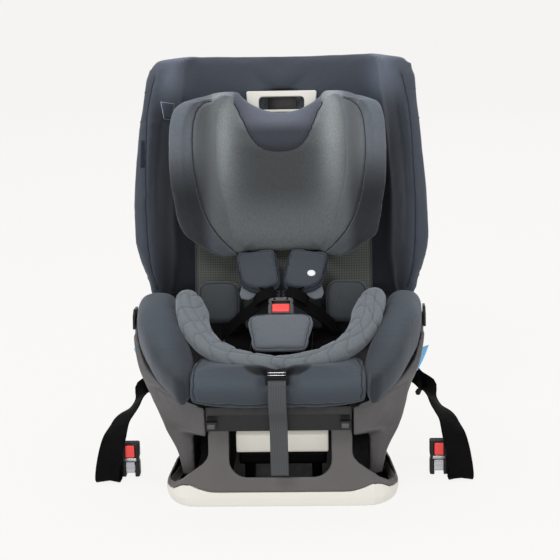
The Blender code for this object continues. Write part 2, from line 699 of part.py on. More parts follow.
carrier = lean_box("headrest_carrier", lean_point(0.452, 0.0385), (0.146, 0.0160, 0.030),
                   M_BLACK, 0.002)
neck = lean_box("carrier_neck", lean_point(0.452, 0.0090), (0.036, 0.0480, 0.024), None, 0.0,
                tools)
boolean(carrier, cutter(neck), "UNION")
for side in (-1, 1):
    c = lean_point(0.452, 0.0400, side * 0.055)
    rc = cylinder("carrier_hole_%d" % side, 0.0054, c - SLIDE * 0.03, c + SLIDE * 0.03, None, 16,
                  tools)
    boolean(carrier, cutter(rc))

# squeeze handle over the headrest's middle: a pale loop
HZ, HY = 0.598, back_y(0.598) - 0.0480
outer = [(-0.057, 0.572), (-0.060, 0.611), (-0.056, 0.616), (0.056, 0.616), (0.060, 0.611),
         (0.057, 0.572)]
hole = [(-0.0385, 0.5860), (-0.0385, 0.6020), (-0.0350, 0.6060), (0.0350, 0.6060),
        (0.0385, 0.6020), (0.0385, 0.5860), (0.0330, 0.5815), (-0.0330, 0.5815)]
hd = prism("headrest_handle", list(reversed(outer)), "Y", -0.006, 0.006, M_CREAM)
hd.matrix_world = (Matrix.Translation((0, back_y(0.598) - 0.0090, 0.598))
                   @ Matrix.Rotation(-atan2(LEAN, 1.0), 4, "X")
                   @ Matrix.Translation((0, 0, -0.598)) @ hd.matrix_world)
hh = prism("handle_hole", hole, "Y", -0.05, 0.05, None, tools)
hh.matrix_world = (Matrix.Translation((0, back_y(0.598) - 0.0090, 0.598))
                   @ Matrix.Rotation(-atan2(LEAN, 1.0), 4, "X")
                   @ Matrix.Translation((0, 0, -0.598)) @ hh.matrix_world)
boolean(hd, cutter(hh))
stem = lean_box("handle_stem", lean_point(0.527, -0.0090), (0.020, 0.0060, 0.104), None, 0.0,
                tools)
boolean(hd, cutter(stem), "UNION")

# ============================================================== SOFT SEAT
# front cushion, notched for the adjuster
cush = box("seat_cushion", (-0.1415, -0.2625, 0.1775), (0.1415, -0.2290, 0.2400), M_NAVY,
           0.012, 3)
notch_c = cutter(box("adjuster_notch", (-0.0200, -0.30, 0.2130), (0.0200, -0.2420, 0.30), None,
                     0.0, 2, tools))
boolean(cush, notch_c)
# foam that fills the bucket under the insert
foam = box("seat_foam", (-0.1085, -0.2168, 0.1720), (0.1085, 0.0500, 0.2150), M_NAVY, 0.006, 2)

# thigh bolsters, lofted from front to rear
BOL = [(-0.2120, 0.1550, 0.2060, 0.0080, 0.0150), (-0.1950, 0.1600, 0.2130, 0.0140, 0.0240),
       (-0.1650, 0.1745, 0.2300, 0.0185, 0.0360), (-0.1250, 0.1900, 0.2530, 0.0235, 0.0480),
       (-0.0750, 0.2015, 0.2660, 0.0255, 0.0500), (-0.0250, 0.2080, 0.2710, 0.0250, 0.0470),
       (0.0150, 0.2120, 0.2710, 0.0235, 0.0430), (0.0340, 0.2130, 0.2700, 0.0200, 0.0360)]
for side, tag in ((-1, "L"), (1, "R")):
    rings = [[Vector((side * (cx + rx * cos(2 * pi * k / 16)), y, cz + rz * sin(2 * pi * k / 16)))
              for k in range(16)] for y, cx, cz, rx, rz in BOL]
    smooth(loft("thigh_bolster_" + tag, rings, M_NAVY), 60)

# quilted insert roll in a U
ROLL = [(-0.1530, -0.0420, 0.3110), (-0.1510, -0.0800, 0.2960), (-0.1410, -0.1220, 0.2760),
        (-0.1150, -0.1610, 0.2560), (-0.0750, -0.1900, 0.2440), (-0.0380, -0.2035, 0.2392),
        (0.0, -0.2078, 0.2375)]
roll_pts = ROLL + [(-x, y, z) for x, y, z in reversed(ROLL[:-1])]
centre_line = smooth_path(roll_pts, 28)
radii = []
for i in range(29):
    k = abs(i - 14) / 14
    r = 0.0178
    if k > 0.93:
        r = 0.0178 * (1 - (k - 0.93) / 0.07 * 0.45)
    radii.append(r)
tube("insert_roll", centre_line, radii, M_LIGHT, 12)

# seat pad inside the roll
pad_outline = ([(-0.088, 0.030), (-0.100, 0.018)] +
               [(-0.100, -0.120), (-0.088, -0.148), (-0.062, -0.168), (-0.030, -0.180)] +
               [(0.030, -0.180), (0.062, -0.168), (0.088, -0.148), (0.100, -0.120)] +
               [(0.100, 0.018), (0.088, 0.030)])
prism("insert_seat_pad", pad_outline, "Z", 0.2156, 0.2260, M_NAVY)

# back pad of the insert and the two hip pads
ib = []
for z in (0.222, 0.260, 0.300, 0.322):
    y = back_y(z) - 0.0104
    half = 0.066 if z < 0.31 else 0.055
    ib.append([(Vector((x, y, z)), Vector((x, y - 0.022, z))) for x in (-half, 0.0, half)])
wall_loft("insert_back_pad", ib, M_NAVY)
for side, tag in ((-1, "L"), (1, "R")):
    hp = lean_box("hip_pad_" + tag, Vector((side * 0.1070, back_y(0.272) - 0.0400, 0.272)),
                  (0.074, 0.050, 0.074), M_NAVY, 0.014, None, 3)

# =============================================================== HARNESS
# crotch pad and strap, buckle housing with its red button
ang = radians(32)
cd = Vector((0, cos(ang), sin(ang)))            # up the crotch strap
cn = Vector((0, -sin(ang), cos(ang)))           # out of the pad's face
cp = Vector((0, -0.098, 0.2560))
place = Matrix.Translation(cp) @ Matrix.Rotation(ang, 4, "X")
turned_box("crotch_pad", (-0.050, -0.0410, -0.0060), (0.050, 0.0410, 0.0060), place, M_GREY,
           0.005, 2)
ribbon("crotch_strap", [cp + cd * s - cn * 0.0078 for s in (-0.030, 0.0, 0.030, 0.0400)],
       [(1, 0, 0)] * 4, 0.025, 0.002, M_WEB)
a2 = radians(52)
bk = cp + cd * 0.0440 + Vector((0, 0.0110, 0.0150))
place = Matrix.Translation(bk) @ Matrix.Rotation(a2, 4, "X")
buckle = turned_box("buckle_housing", (-0.0210, -0.0150, -0.0080), (0.0210, 0.0160, 0.0080),
                    place, M_DARK, 0.003, 2)
boolean(buckle, cutter(turned_box("buckle_well", (-0.0148, -0.0118, 0.0012),
                                  (0.0148, 0.0082, 0.0200), place, None, 0.0, 2, tools)))
turned_box("buckle_button", (-0.0142, -0.0112, 0.0056), (0.0142, 0.0076, 0.0096), place, M_RED,
           0.001, 2)
for side, tag in ((-1, "L"), (1, "R")):
    a, b = sorted((side * 0.0010, side * 0.0155))
    turned_box("buckle_tongue_" + tag, (a, 0.0166, -0.0020), (b, 0.0300, 0.0010), place, M_STEEL,
               0.0006, 1)

# shoulder pads: flat padded sleeves, leaning in towards the buckle
for side, tag in ((-1, "L"), (1, "R")):
    top = Vector((side * 0.0445, 0.0490, 0.3450))
    low = Vector((side * 0.0325, 0.0000, 0.3130))
    d = (top - low).normalized()
    across = Vector((side * 1.0, 0.0, 0.0))
    across = (across - d * across.dot(d)).normalized()
    nrm = across.cross(d).normalized()
    if nrm.y > 0:
        nrm = -nrm
    c0 = (top + low) / 2 + nrm * 0.004
    sp = box("shoulder_pad_" + tag, (-0.0290, -(top - low).length / 2 - 0.003, -0.0050),
             (0.0290, (top - low).length / 2 + 0.003, 0.0050), M_NAVY, 0.004, 2)
    rot = Matrix((across, d, across.cross(d))).transposed().to_4x4()
    sp.matrix_world = Matrix.Translation(c0) @ rot

# straps from the pads up behind the headrest, and the lap straps
for side, tag in ((-1, "L"), (1, "R")):
    pts = smooth_path([(side * 0.0480, back_y(0.352) - 0.0122, 0.3520),
                       (side * 0.0485, back_y(0.390) - 0.0122, 0.3900),
                       (side * 0.0490, back_y(0.470) - 0.0122, 0.4700),
                       (side * 0.0490, back_y(0.560) - 0.0122, 0.5600)], 6)
    ribbon("shoulder_strap_" + tag, pts, [(1, 0, 0)] * 7, 0.025, 0.0018, M_WEB)
    pts = smooth_path([(side * 0.0275, -0.0420, 0.2925), (side * 0.0480, -0.0330, 0.2790),
                       (side * 0.0720, -0.0200, 0.2580), (side * 0.0900, -0.0120, 0.2400)], 8)
    ribbon("lap_strap_" + tag, pts, [(0.15 * side, 0.75, 0.65)] * 9, 0.022, 0.0018, M_WEB)

# front adjuster: bezel in the cushion's notch, lever above it, strap below
bez = box("adjuster_bezel", (-0.0175, -0.2600, 0.2185), (0.0175, -0.2470, 0.2325), M_STEEL,
          0.0012, 2)
bz = cutter(box("bezel_slot", (-0.0145, -0.28, 0.2225), (0.0145, -0.24, 0.2290), None, 0.0, 2,
                tools))
boolean(bez, bz)
lever = [(-0.2590, 0.2336), (-0.2580, 0.2366), (-0.2460, 0.2400), (-0.2440, 0.2386),
         (-0.2440, 0.2350), (-0.2460, 0.2336)]
prism("adjuster_lever", lever, "X", -0.0150, 0.0150, M_BLACK)
ADJ = [(0.0, -0.2535, 0.2256), (0.0, -0.2620, 0.2250), (0.0, -0.2660, 0.2160),
       (0.0, -0.2665, 0.1950), (0.0, -0.2600, 0.1760), (0.0, -0.2440, 0.1580),
       (0.0, -0.2370, 0.1400), (0.0, -0.2340, 0.1150), (0.0, -0.2320, 0.0900),
       (0.0, -0.2300, 0.0620)]
pts = smooth_path(ADJ, 26)
ribbon("adjuster_strap", pts, [(1, 0, 0)] * 27, ADJ_WEB, 0.0020, M_GWEB)

# ======================================================== LOWER ANCHORS
ANCH = [(0.1240, 0.1370, 0.1230), (0.1500, 0.1420, 0.1320), (0.1900, 0.1330, 0.1380),
        (0.2250, 0.1050, 0.1340), (0.2440, 0.0600, 0.1240), (0.2580, 0.0200, 0.1060),
        (0.2720, -0.0280, 0.0880), (0.2830, -0.0660, 0.0620), (0.2890, -0.0840, 0.0340),
        (0.2915, -0.0920, 0.0120), (0.2905, -0.0890, 0.0048), (0.2870, -0.0780, 0.0112),
        (0.2810, -0.0670, 0.0178), (0.2736, -0.0580, 0.0205)]
ACROSS = [(0.0, 0.10, 1.0), (0.0, 0.30, 1.0), (-0.1, 0.50, 0.85), (-0.25, 0.60, 0.70),
          (-0.30, 0.77, 0.45), (0.05, 0.97, -0.10), (0.75, 0.60, -0.20), (0.98, 0.15, 0.0),
          (1.0, 0.02, -0.05), (1.0, 0.0, -0.03), (1.0, -0.10, 0.0), (0.90, 0.0, 0.40),
          (0.50, 0.10, 0.86), (0.05, 0.20, 0.97)]
NA = 40


def spread_across(points, across, n):
    """The width directions, read at n + 1 even steps along the route."""
    fine = [Vector(p) for p in points]
    s = [0.0]
    for a, b in zip(fine, fine[1:]):
        s.append(s[-1] + (b - a).length)
    out, j = [], 0
    for k in range(n + 1):
        want = s[-1] * k / n
        while j < len(s) - 2 and s[j + 1] < want:
            j += 1
        f = min(max((want - s[j]) / (s[j + 1] - s[j]), 0.0), 1.0)
        out.append(Vector(across[j]).lerp(Vector(across[j + 1]), f).normalized())
    return out


for side, tag in ((-1, "L"), (1, "R")):
    route = [(side * x, y, z) for x, y, z in ANCH]
    wide = [(side * x, y, z) for x, y, z in ACROSS]
    ribbon("anchor_strap_" + tag, smooth_path(route, NA), spread_across(route, wide, NA), WEB,
           WEB_T, M_WEB)
    cx, cy = side * 0.2560, -0.0530
    body = box("anchor_connector_" + tag, (cx - 0.0155, cy - 0.0100, 0.0006),
               (cx + 0.0155, cy + 0.0100, 0.0590), M_BLACK, 0.0025, 2)
    w = cutter(box("connector_mouth_" + tag, (cx - 0.0075, cy - 0.02, -0.01),
                   (cx + 0.0075, cy + 0.02, 0.0280), None, 0.0, 2, tools))
    boolean(body, w)
    w = cutter(box("button_well_" + tag, (cx - 0.0082, cy - 0.02, 0.0345),
                   (cx + 0.0082, cy - 0.0035, 0.0565), None, 0.0, 2, tools))
    boolean(body, w)
    box("anchor_button_" + tag, (cx - 0.0076, cy - 0.0108, 0.0351),
        (cx + 0.0076, cy - 0.0072, 0.0559), M_RED, 0.0008, 2)
    jaw = [(cy - 0.0086, 0.0262), (cy - 0.0094, 0.0100), (cy - 0.0070, 0.0070),
           (cy - 0.0030, 0.0070), (cy - 0.0030, 0.0105), (cy - 0.0056, 0.0120),
           (cy - 0.0050, 0.0200), (cy + 0.0060, 0.0205), (cy + 0.0070, 0.0262)]
    prism("anchor_jaw_" + tag, jaw, "X", cx - 0.0068, cx + 0.0068, M_STEEL)
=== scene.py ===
"""Looks of the convertible car seat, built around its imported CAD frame. Metres, +Z up, -Y front."""
import json
import random
from math import atan2, cos, exp, pi, radians, sin, sqrt

import bmesh
import bpy
import numpy as np
from mathutils import Matrix, Vector, noise
from mathutils.bvhtree import BVHTree

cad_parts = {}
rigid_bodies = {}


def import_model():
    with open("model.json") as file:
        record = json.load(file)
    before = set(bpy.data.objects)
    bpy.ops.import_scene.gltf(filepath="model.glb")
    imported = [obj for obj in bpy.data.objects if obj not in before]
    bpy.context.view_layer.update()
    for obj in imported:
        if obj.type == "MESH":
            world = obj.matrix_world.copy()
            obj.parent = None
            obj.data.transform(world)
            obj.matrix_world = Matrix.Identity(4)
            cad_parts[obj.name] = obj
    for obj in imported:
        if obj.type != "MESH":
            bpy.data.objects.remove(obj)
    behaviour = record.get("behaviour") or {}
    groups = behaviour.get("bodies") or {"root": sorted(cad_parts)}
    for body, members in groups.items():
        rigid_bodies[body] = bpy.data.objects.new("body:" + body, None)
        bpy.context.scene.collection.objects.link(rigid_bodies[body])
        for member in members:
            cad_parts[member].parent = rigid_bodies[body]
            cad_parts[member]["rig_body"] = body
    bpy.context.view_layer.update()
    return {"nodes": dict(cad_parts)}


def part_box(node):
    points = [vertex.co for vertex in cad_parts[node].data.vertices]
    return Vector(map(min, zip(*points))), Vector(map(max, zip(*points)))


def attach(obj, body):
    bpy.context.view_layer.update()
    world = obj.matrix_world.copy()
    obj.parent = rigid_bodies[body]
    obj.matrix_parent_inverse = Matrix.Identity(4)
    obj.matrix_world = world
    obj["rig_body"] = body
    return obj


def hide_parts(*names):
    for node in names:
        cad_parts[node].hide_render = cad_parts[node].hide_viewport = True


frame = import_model()
NODES = frame["nodes"]
scene = bpy.context.scene
random.seed(7)


# ================================================================= materials
def srgb(r, g, b, k=1.0):
    def lin(c):
        c /= 255.0
        return c / 12.92 if c <= 0.04045 else ((c + 0.055) / 1.055) ** 2.4
    return (lin(r) * k, lin(g) * k, lin(b) * k, 1.0)


class Net:
    """A small helper to write node trees."""

    def __init__(self, name):
        self.m = bpy.data.materials.new(name)
        self.m.use_nodes = True
        self.t = self.m.node_tree
        self.bsdf = self.t.nodes["Principled BSDF"]
        self.co = self.node("ShaderNodeTexCoord").outputs["Object"]

    def node(self, kind, **props):
        n = self.t.nodes.new(kind)
        for k, v in props.items():
            setattr(n, k, v)
        return n

    def link(self, a, b):
        self.t.links.new(a, b)

    def mapped(self, scale):
        n = self.node("ShaderNodeMapping")
        n.inputs["Scale"].default_value = scale
        self.link(self.co, n.inputs["Vector"])
        return n.outputs["Vector"]

    def noise(self, scale, detail=2.0, stretch=None, rough=0.5):
        n = self.node("ShaderNodeTexNoise")
        n.inputs["Scale"].default_value = scale
        n.inputs["Detail"].default_value = detail
        n.inputs["Roughness"].default_value = rough
        self.link(self.mapped(stretch) if stretch else self.co, n.inputs["Vector"])
        return n.outputs["Fac"]

    def wave(self, scale, axis, distort=0.0):
        n = self.node("ShaderNodeTexWave", wave_type="BANDS", bands_direction=axis)
        n.inputs["Scale"].default_value = scale
        n.inputs["Distortion"].default_value = distort
        n.inputs["Detail"].default_value = 1.0
        self.link(self.co, n.inputs["Vector"])
        return n.outputs["Fac"]

    def math(self, op, a, b=None, clamp=False):
        n = self.node("ShaderNodeMath", operation=op)
        n.use_clamp = clamp
        for i, x in enumerate((a, b)):
            if x is None:
                continue
            if isinstance(x, (int, float)):
                n.inputs[i].default_value = x
            else:
                self.link(x, n.inputs[i])
        return n.outputs[0]

    def ramp(self, fac, stops):
        n = self.node("ShaderNodeValToRGB")
        el = n.color_ramp.elements
        while len(el) < len(stops):
            el.new(0.5)
        for e, (p, c) in zip(el, stops):
            e.position = p
            e.color = c
        self.link(fac, n.inputs["Fac"])
        return n.outputs["Color"]

    def mix(self, fac, a, b):
        n = self.node("ShaderNodeMix", data_type="RGBA")
        for i, x in ((0, fac), (6, a), (7, b)):
            if isinstance(x, (int, float)):
                n.inputs[i].default_value = x
            elif isinstance(x, tuple):
                n.inputs[i].default_value = x
            else:
                self.link(x, n.inputs[i])
        return n.outputs[2]

    def bump(self, height, strength, dist, base=None):
        n = self.node("ShaderNodeBump")
        n.inputs["Strength"].default_value = strength
        n.inputs["Distance"].default_value = dist
        self.link(height, n.inputs["Height"])
        if base is not None:
            self.link(base, n.inputs["Normal"])
        return n.outputs["Normal"]

    def set(self, **kw):
        for k, v in kw.items():
            self.bsdf.inputs[k.replace("_", " ")].default_value = v


def scaled(c, k):
    return (c[0] * k, c[1] * k, c[2] * k, 1.0)


def fabric(name, rgb, melange=0.25, pitch=0.0013, bump=0.5, sheen=0.25, rough=0.88, streak=1.0,
           patch=0.10, painted_light=False, spec=0.22):
    """Woven or knitted cloth: a mottled yarn colour, a fine weave, soft wear patches."""
    n = Net(name)
    base = srgb(*rgb)
    fine = n.noise(620.0, 3.0, (1.0, 1.0, 1.0 / streak), 0.6)
    yarn = n.ramp(fine, [(0.30, scaled(base, 1 - melange)), (0.52, base),
                         (0.74, scaled(base, 1 + melange))])
    big = n.noise(11.0, 3.0)
    wear = n.ramp(big, [(0.3, scaled(base, 1 - patch)), (0.7, scaled(base, 1 + patch))])
    col = n.mix(0.35, yarn, wear)
    if painted_light:
        # painted highlights and shade over the pad, stored on the mesh and multiplied into the cloth colour
        at = n.node("ShaderNodeAttribute")
        at.attribute_name = "painted_light"
        vm = n.node("ShaderNodeVectorMath", operation="SCALE")
        n.link(col, vm.inputs[0])
        n.link(at.outputs["Fac"], vm.inputs["Scale"])
        col = vm.outputs[0]
    n.link(col, n.bsdf.inputs["Base Color"])
    w = 0.314 / pitch
    weave = n.math("MULTIPLY", n.wave(w, "X"), n.wave(w, "Z"))
    weave = n.math("ADD", weave, n.math("MULTIPLY", n.wave(w, "Y"), 0.5))
    nor = n.bump(weave, bump, 0.00035)
    nor = n.bump(fine, 0.35, 0.0004, nor)
    nor = n.bump(n.noise(55.0, 3.0), 0.30, 0.0012, nor)
    n.link(nor, n.bsdf.inputs["Normal"])
    r = n.ramp(big, [(0.3, (rough - 0.06,) * 3 + (1,)), (0.7, (rough + 0.05,) * 3 + (1,))])
    n.link(r, n.bsdf.inputs["Roughness"])
    n.set(Sheen_Weight=sheen, Sheen_Roughness=0.45, Specular_IOR_Level=spec,
          Sheen_Tint=(0.80, 0.87, 1.0, 1.0))
    return n.m


def plastic(name, rgb, rough=0.5, grain=0.25, scale=1500.0, spec=0.4, patch=0.05, coat=0.0):
    n = Net(name)
    base = srgb(*rgb)
    big = n.noise(16.0, 3.0)
    n.link(n.ramp(big, [(0.3, scaled(base, 1 - patch)), (0.7, scaled(base, 1 + patch))]),
           n.bsdf.inputs["Base Color"])
    n.link(n.bump(n.noise(scale, 2.0), grain, 0.00015), n.bsdf.inputs["Normal"])
    scuff = n.noise(90.0, 4.0, (1.0, 0.3, 1.0))
    n.link(n.ramp(scuff, [(0.35, (rough - 0.05,) * 3 + (1,)), (0.7, (rough + 0.07,) * 3 + (1,))]),
           n.bsdf.inputs["Roughness"])
    n.set(Specular_IOR_Level=spec)
    if coat:
        n.set(Coat_Weight=coat, Coat_Roughness=0.2)
    return n.m


def metal(name, rgb, rough=0.28):
    n = Net(name)
    base = srgb(*rgb)
    brush = n.noise(300.0, 3.0, (0.05, 1.0, 1.0))
    n.link(n.ramp(brush, [(0.3, scaled(base, 0.85)), (0.7, scaled(base, 1.08))]),
           n.bsdf.inputs["Base Color"])
    n.link(n.ramp(brush, [(0.3, (rough - 0.08,) * 3 + (1,)), (0.7, (rough + 0.12,) * 3 + (1,))]),
           n.bsdf.inputs["Roughness"])
    n.link(n.bump(brush, 0.15, 0.0001), n.bsdf.inputs["Normal"])
    n.set(Metallic=1.0)
    return n.m


def webbing(name, rgb, pitch=0.0026, axis="Z"):
    n = Net(name)
    base = srgb(*rgb)
    w = 0.314 / pitch
    rib = n.wave(w, "X", 0.3)
    cross = n.wave(w * 1.6, axis, 0.3)
    both = n.math("ADD", n.math("MULTIPLY", rib, 0.6), n.math("MULTIPLY", cross, 0.5))
    n.link(n.ramp(both, [(0.15, scaled(base, 0.70)), (0.8, scaled(base, 1.25))]),
           n.bsdf.inputs["Base Color"])
    nor = n.bump(both, 0.7, 0.0004)
    nor = n.bump(n.noise(900.0, 2.0), 0.3, 0.0003, nor)
    n.link(nor, n.bsdf.inputs["Normal"])
    n.link(n.ramp(n.noise(40.0), [(0.3, (0.66,) * 3 + (1,)), (0.7, (0.82,) * 3 + (1,))]),
           n.bsdf.inputs["Roughness"])
    n.set(Sheen_Weight=0.0, Specular_IOR_Level=0.06)
    return n.m


def dotted(name, rgb, dark, pitch=0.0042):
    """Breathable spacer mesh: rows of small holes."""
    n = Net(name)
    base, hole = srgb(*rgb), srgb(*dark)
    w = 0.314 / pitch
    d = n.math("MULTIPLY", n.wave(w, "X"), n.wave(w, "Z"))
    n.link(n.ramp(d, [(0.10, scaled(base, 1.10)), (0.35, base), (0.72, hole)]),
           n.bsdf.inputs["Base Color"])
    n.link(n.bump(d, -0.6, 0.0006), n.bsdf.inputs["Normal"])
    n.link(n.ramp(n.noise(30.0), [(0.3, (0.82,) * 3 + (1,)), (0.7, (0.93,) * 3 + (1,))]),
           n.bsdf.inputs["Roughness"])
    n.set(Sheen_Weight=0.2, Specular_IOR_Level=0.2)
    return n.m


NAVY = fabric("navy_cloth", (60, 65, 74), melange=0.16, bump=0.35, sheen=0.28, painted_light=True)
NAVY_D = fabric("navy_cloth_seat", (56, 62, 68), melange=0.16, bump=0.35, sheen=0.20, painted_light=True)
# dark lining, made near-black as painted shade of the hollow seat under the insert
SEAT_PAINTED_SHADE = fabric("seat_lining_painted_shade", (9, 9, 10), melange=0.2, bump=0.3, sheen=0.0, spec=0.05)
GREY = fabric("melange_cloth", (92, 96, 98), melange=0.26, bump=0.4, sheen=0.22, streak=3.0, painted_light=True)
BAND = fabric("melange_cloth_side", (80, 85, 91), melange=0.20, bump=0.4, sheen=0.22, streak=2.0, painted_light=True)
COLLAR = fabric("collar_cloth", (70, 73, 82), melange=0.14, bump=0.35, sheen=0.25, painted_light=True)
LIGHT = fabric("insert_knit", (98, 104, 108), melange=0.24, bump=0.5, sheen=0.35)
PADS = fabric("pad_cloth", (58, 63, 70), melange=0.14, bump=0.35, sheen=0.3)
PADS2 = fabric("crotch_cloth", (92, 97, 103), melange=0.20, bump=0.45, sheen=0.3, streak=0.4)
HIP = fabric("hip_cloth", (64, 68, 71), melange=0.16, bump=0.4, sheen=0.25)
MESHF = dotted("spacer_mesh", (86, 89, 85), (44, 46, 44))
QUILT = fabric("quilting_thread", (74, 79, 84), melange=0.1, pitch=0.0006, bump=0.3, sheen=0.1)
THREAD = fabric("thread", (38, 42, 50), melange=0.10, pitch=0.0006, bump=0.4, sheen=0.1)
DARKP = plastic("grey_moulding", (72, 70, 71), rough=0.48, grain=0.30)
HOUSE = plastic("base_moulding", (83, 80, 80), rough=0.46, grain=0.30)
# near-black as painted shade on the base's inner faces, floor plate, recline tracks and latch cover
INNER_PAINTED_SHADE = plastic("inner_moulding_painted_shade", (9, 9, 10), rough=0.62, grain=0.30, spec=0.10)
BLACKP = plastic("black_moulding", (17, 17, 18), rough=0.5, grain=0.3, spec=0.3)
# dark moulding, made near-black as painted shade under the seat cushion
PANEL_PAINTED_SHADE = plastic("panel_moulding_painted_shade", (21, 20, 21), rough=0.5, grain=0.3, spec=0.35)
CREAM = plastic("pale_moulding", (211, 209, 201), rough=0.42, grain=0.12, patch=0.015, coat=0.1)
REDP = plastic("red_button", (232, 62, 58), rough=0.32, grain=0.08, patch=0.03, coat=0.3)
STEELM = metal("steel_parts", (176, 178, 182), 0.30)
STEELD = metal("dark_tongue_steel", (34, 35, 37), 0.45)
HANDLE_PAINTED_GLOW = plastic("pale_handle_painted_glow", (232, 229, 219), rough=0.42, grain=0.12, patch=0.015)
# painted glow: emission lightens the pale handle where it sits in the shaded window of the base
HANDLE_PAINTED_GLOW.node_tree.nodes["Principled BSDF"].inputs["Emission Color"].default_value = (0.80, 0.77, 0.70, 1)
HANDLE_PAINTED_GLOW.node_tree.nodes["Principled BSDF"].inputs["Emission Strength"].default_value = 0.36
CHROME = metal("bezel_steel", (190, 192, 195), 0.20)
WEBB = webbing("black_webbing", (7, 7, 8))
GWEB = webbing("grey_webbing", (72, 74, 75))
WHITE = plastic("plain_badge", (222, 224, 225), rough=0.5, grain=0.1, patch=0.02)
TAGB = fabric("tag_blue", (128, 190, 236), melange=0.05, bump=0.2, sheen=0.1, rough=0.7)
TAGD = fabric("tag_ground", (66, 72, 84), melange=0.06, bump=0.2, sheen=0.1)
TAGW = fabric("tag_pale", (150, 158, 170), melange=0.06, bump=0.2, sheen=0.1)
TAGK = fabric("tag_dark", (30, 34, 44), melange=0.06, bump=0.2, sheen=0.1)


# ============================================================= mesh helpers
def add(name, verts, faces, mat=None, smooth=True):
    me = bpy.data.meshes.new(name)
    me.from_pydata([tuple(v) for v in verts], [], [tuple(f) for f in faces])
    me.validate()
    ob = bpy.data.objects.new(name, me)
    scene.collection.objects.link(ob)
    if mat:
        me.materials.append(mat)
    if smooth:
        me.polygons.foreach_set("use_smooth", [True] * len(me.polygons))
    return ob


def from_bm(name, bm, mat=None, smooth=True):
    bmesh.ops.recalc_face_normals(bm, faces=bm.faces)
    if bm.calc_volume(signed=True) < 0:
        bmesh.ops.reverse_faces(bm, faces=bm.faces)
    me = bpy.data.meshes.new(name)
    bm.to_mesh(me)
    bm.free()
    ob = bpy.data.objects.new(name, me)
    scene.collection.objects.link(ob)
    if mat:
        me.materials.append(mat)
    if smooth:
        me.polygons.foreach_set("use_smooth", [True] * len(me.polygons))
    return ob


def apply_mods(ob):
    """Bakes an object's modifiers into its mesh."""
    bpy.context.view_layer.update()
    deps = bpy.context.evaluated_depsgraph_get()
    me = bpy.data.meshes.new_from_object(ob.evaluated_get(deps), depsgraph=deps)
    old = ob.data
    ob.modifiers.clear()
    ob.data = me
    if old.users == 0 and isinstance(old, bpy.types.Mesh):
        bpy.data.meshes.remove(old)
    return ob


def mod(ob, kind, **props):
    m = ob.modifiers.new(kind.lower(), kind)
    for k, v in props.items():
        setattr(m, k, v)
    return m


def coords(ob):
    co = np.zeros(len(ob.data.vertices) * 3)
    ob.data.vertices.foreach_get("co", co)
    return co.reshape(-1, 3)


def set_coords(ob, co):
    ob.data.vertices.foreach_set("co", co.reshape(-1).astype(np.float32))
    ob.data.update()


def normals(ob):
    no = np.zeros(len(ob.data.vertices) * 3, np.float32)
    ob.data.vertex_normals.foreach_get("vector", no)
    return no.reshape(-1, 3).astype(float)


def shade(ob):
    ob.data.polygons.foreach_set("use_smooth", [True] * len(ob.data.polygons))
    return ob


def remesh(ob, voxel):
    mod(ob, "REMESH", mode="VOXEL", voxel_size=voxel, use_smooth_shade=True)
    return apply_mods(ob)


def relax(ob, n, factor=0.5):
    if n:
        mod(ob, "SMOOTH", factor=factor, iterations=n)
        apply_mods(ob)
    return ob


def inflate(ob, d):
    set_coords(ob, coords(ob) + normals(ob) * d)
    return ob


def mats(ob, *materials):
    ob.data.materials.clear()
    for m in materials:
        ob.data.materials.append(m)
    return ob


def loft(name, rings, mat=None, caps=True):
    bm = bmesh.new()
    vs = [[bm.verts.new(p) for p in ring] for ring in rings]
    n = len(vs[0])
    for a, b in zip(vs, vs[1:]):
        for i in range(n):
            j = (i + 1) % n
            bm.faces.new((a[i], a[j], b[j], b[i]))
    if caps:
        bm.faces.new(vs[0])
        bm.faces.new(vs[-1])
    return from_bm(name, bm, mat)


def wall_loft(name, levels, mat=None):
    bm = bmesh.new()
    out = [[bm.verts.new(p[0]) for p in lv] for lv in levels]
    inn = [[bm.verts.new(p[1]) for p in lv] for lv in levels]
    rows, cols = len(levels), len(levels[0])
    for k in range(rows - 1):
        for i in range(cols - 1):
            bm.faces.new((out[k][i], out[k][i + 1], out[k + 1][i + 1], out[k + 1][i]))
            bm.faces.new((inn[k][i + 1], inn[k][i], inn[k + 1][i], inn[k + 1][i + 1]))
        bm.faces.new((inn[k][0], out[k][0], out[k + 1][0], inn[k + 1][0]))
        bm.faces.new((out[k][-1], inn[k][-1], inn[k + 1][-1], out[k + 1][-1]))
    for i in range(cols - 1):
        bm.faces.new((out[0][i + 1], out[0][i], inn[0][i], inn[0][i + 1]))
        bm.faces.new((out[-1][i], out[-1][i + 1], inn[-1][i + 1], inn[-1][i]))
    return from_bm(name, bm, mat)


def prism(name, outline, axis, a, b, mat=None, bevel=0.0, seg=2):
    """A closed prism from a 2D outline, extruded from a to b along X, Y or Z."""
    def place(u, v, w):
        return {"X": (w, u, v), "Y": (u, w, v), "Z": (u, v, w)}[axis]
    bm = bmesh.new()
    lo = [bm.verts.new(place(u, v, a)) for u, v in outline]
    hi = [bm.verts.new(place(u, v, b)) for u, v in outline]
    n = len(outline)
    bm.faces.new(lo)
    bm.faces.new(hi)
    for i in range(n):
        bm.faces.new((lo[i], lo[(i + 1) % n], hi[(i + 1) % n], hi[i]))
    ob = from_bm(name, bm, mat, smooth=False)
    if bevel:
        mod(ob, "BEVEL", width=bevel, segments=seg, limit_method="ANGLE", angle_limit=radians(30))
        apply_mods(ob)
        shade(ob)
    return ob


def box(name, lo, hi, mat=None, bevel=0.002, seg=3):
    return prism(name, [(lo[0], lo[1]), (hi[0], lo[1]), (hi[0], hi[1]), (lo[0], hi[1])], "Z",
                 lo[2], hi[2], mat, bevel, seg)


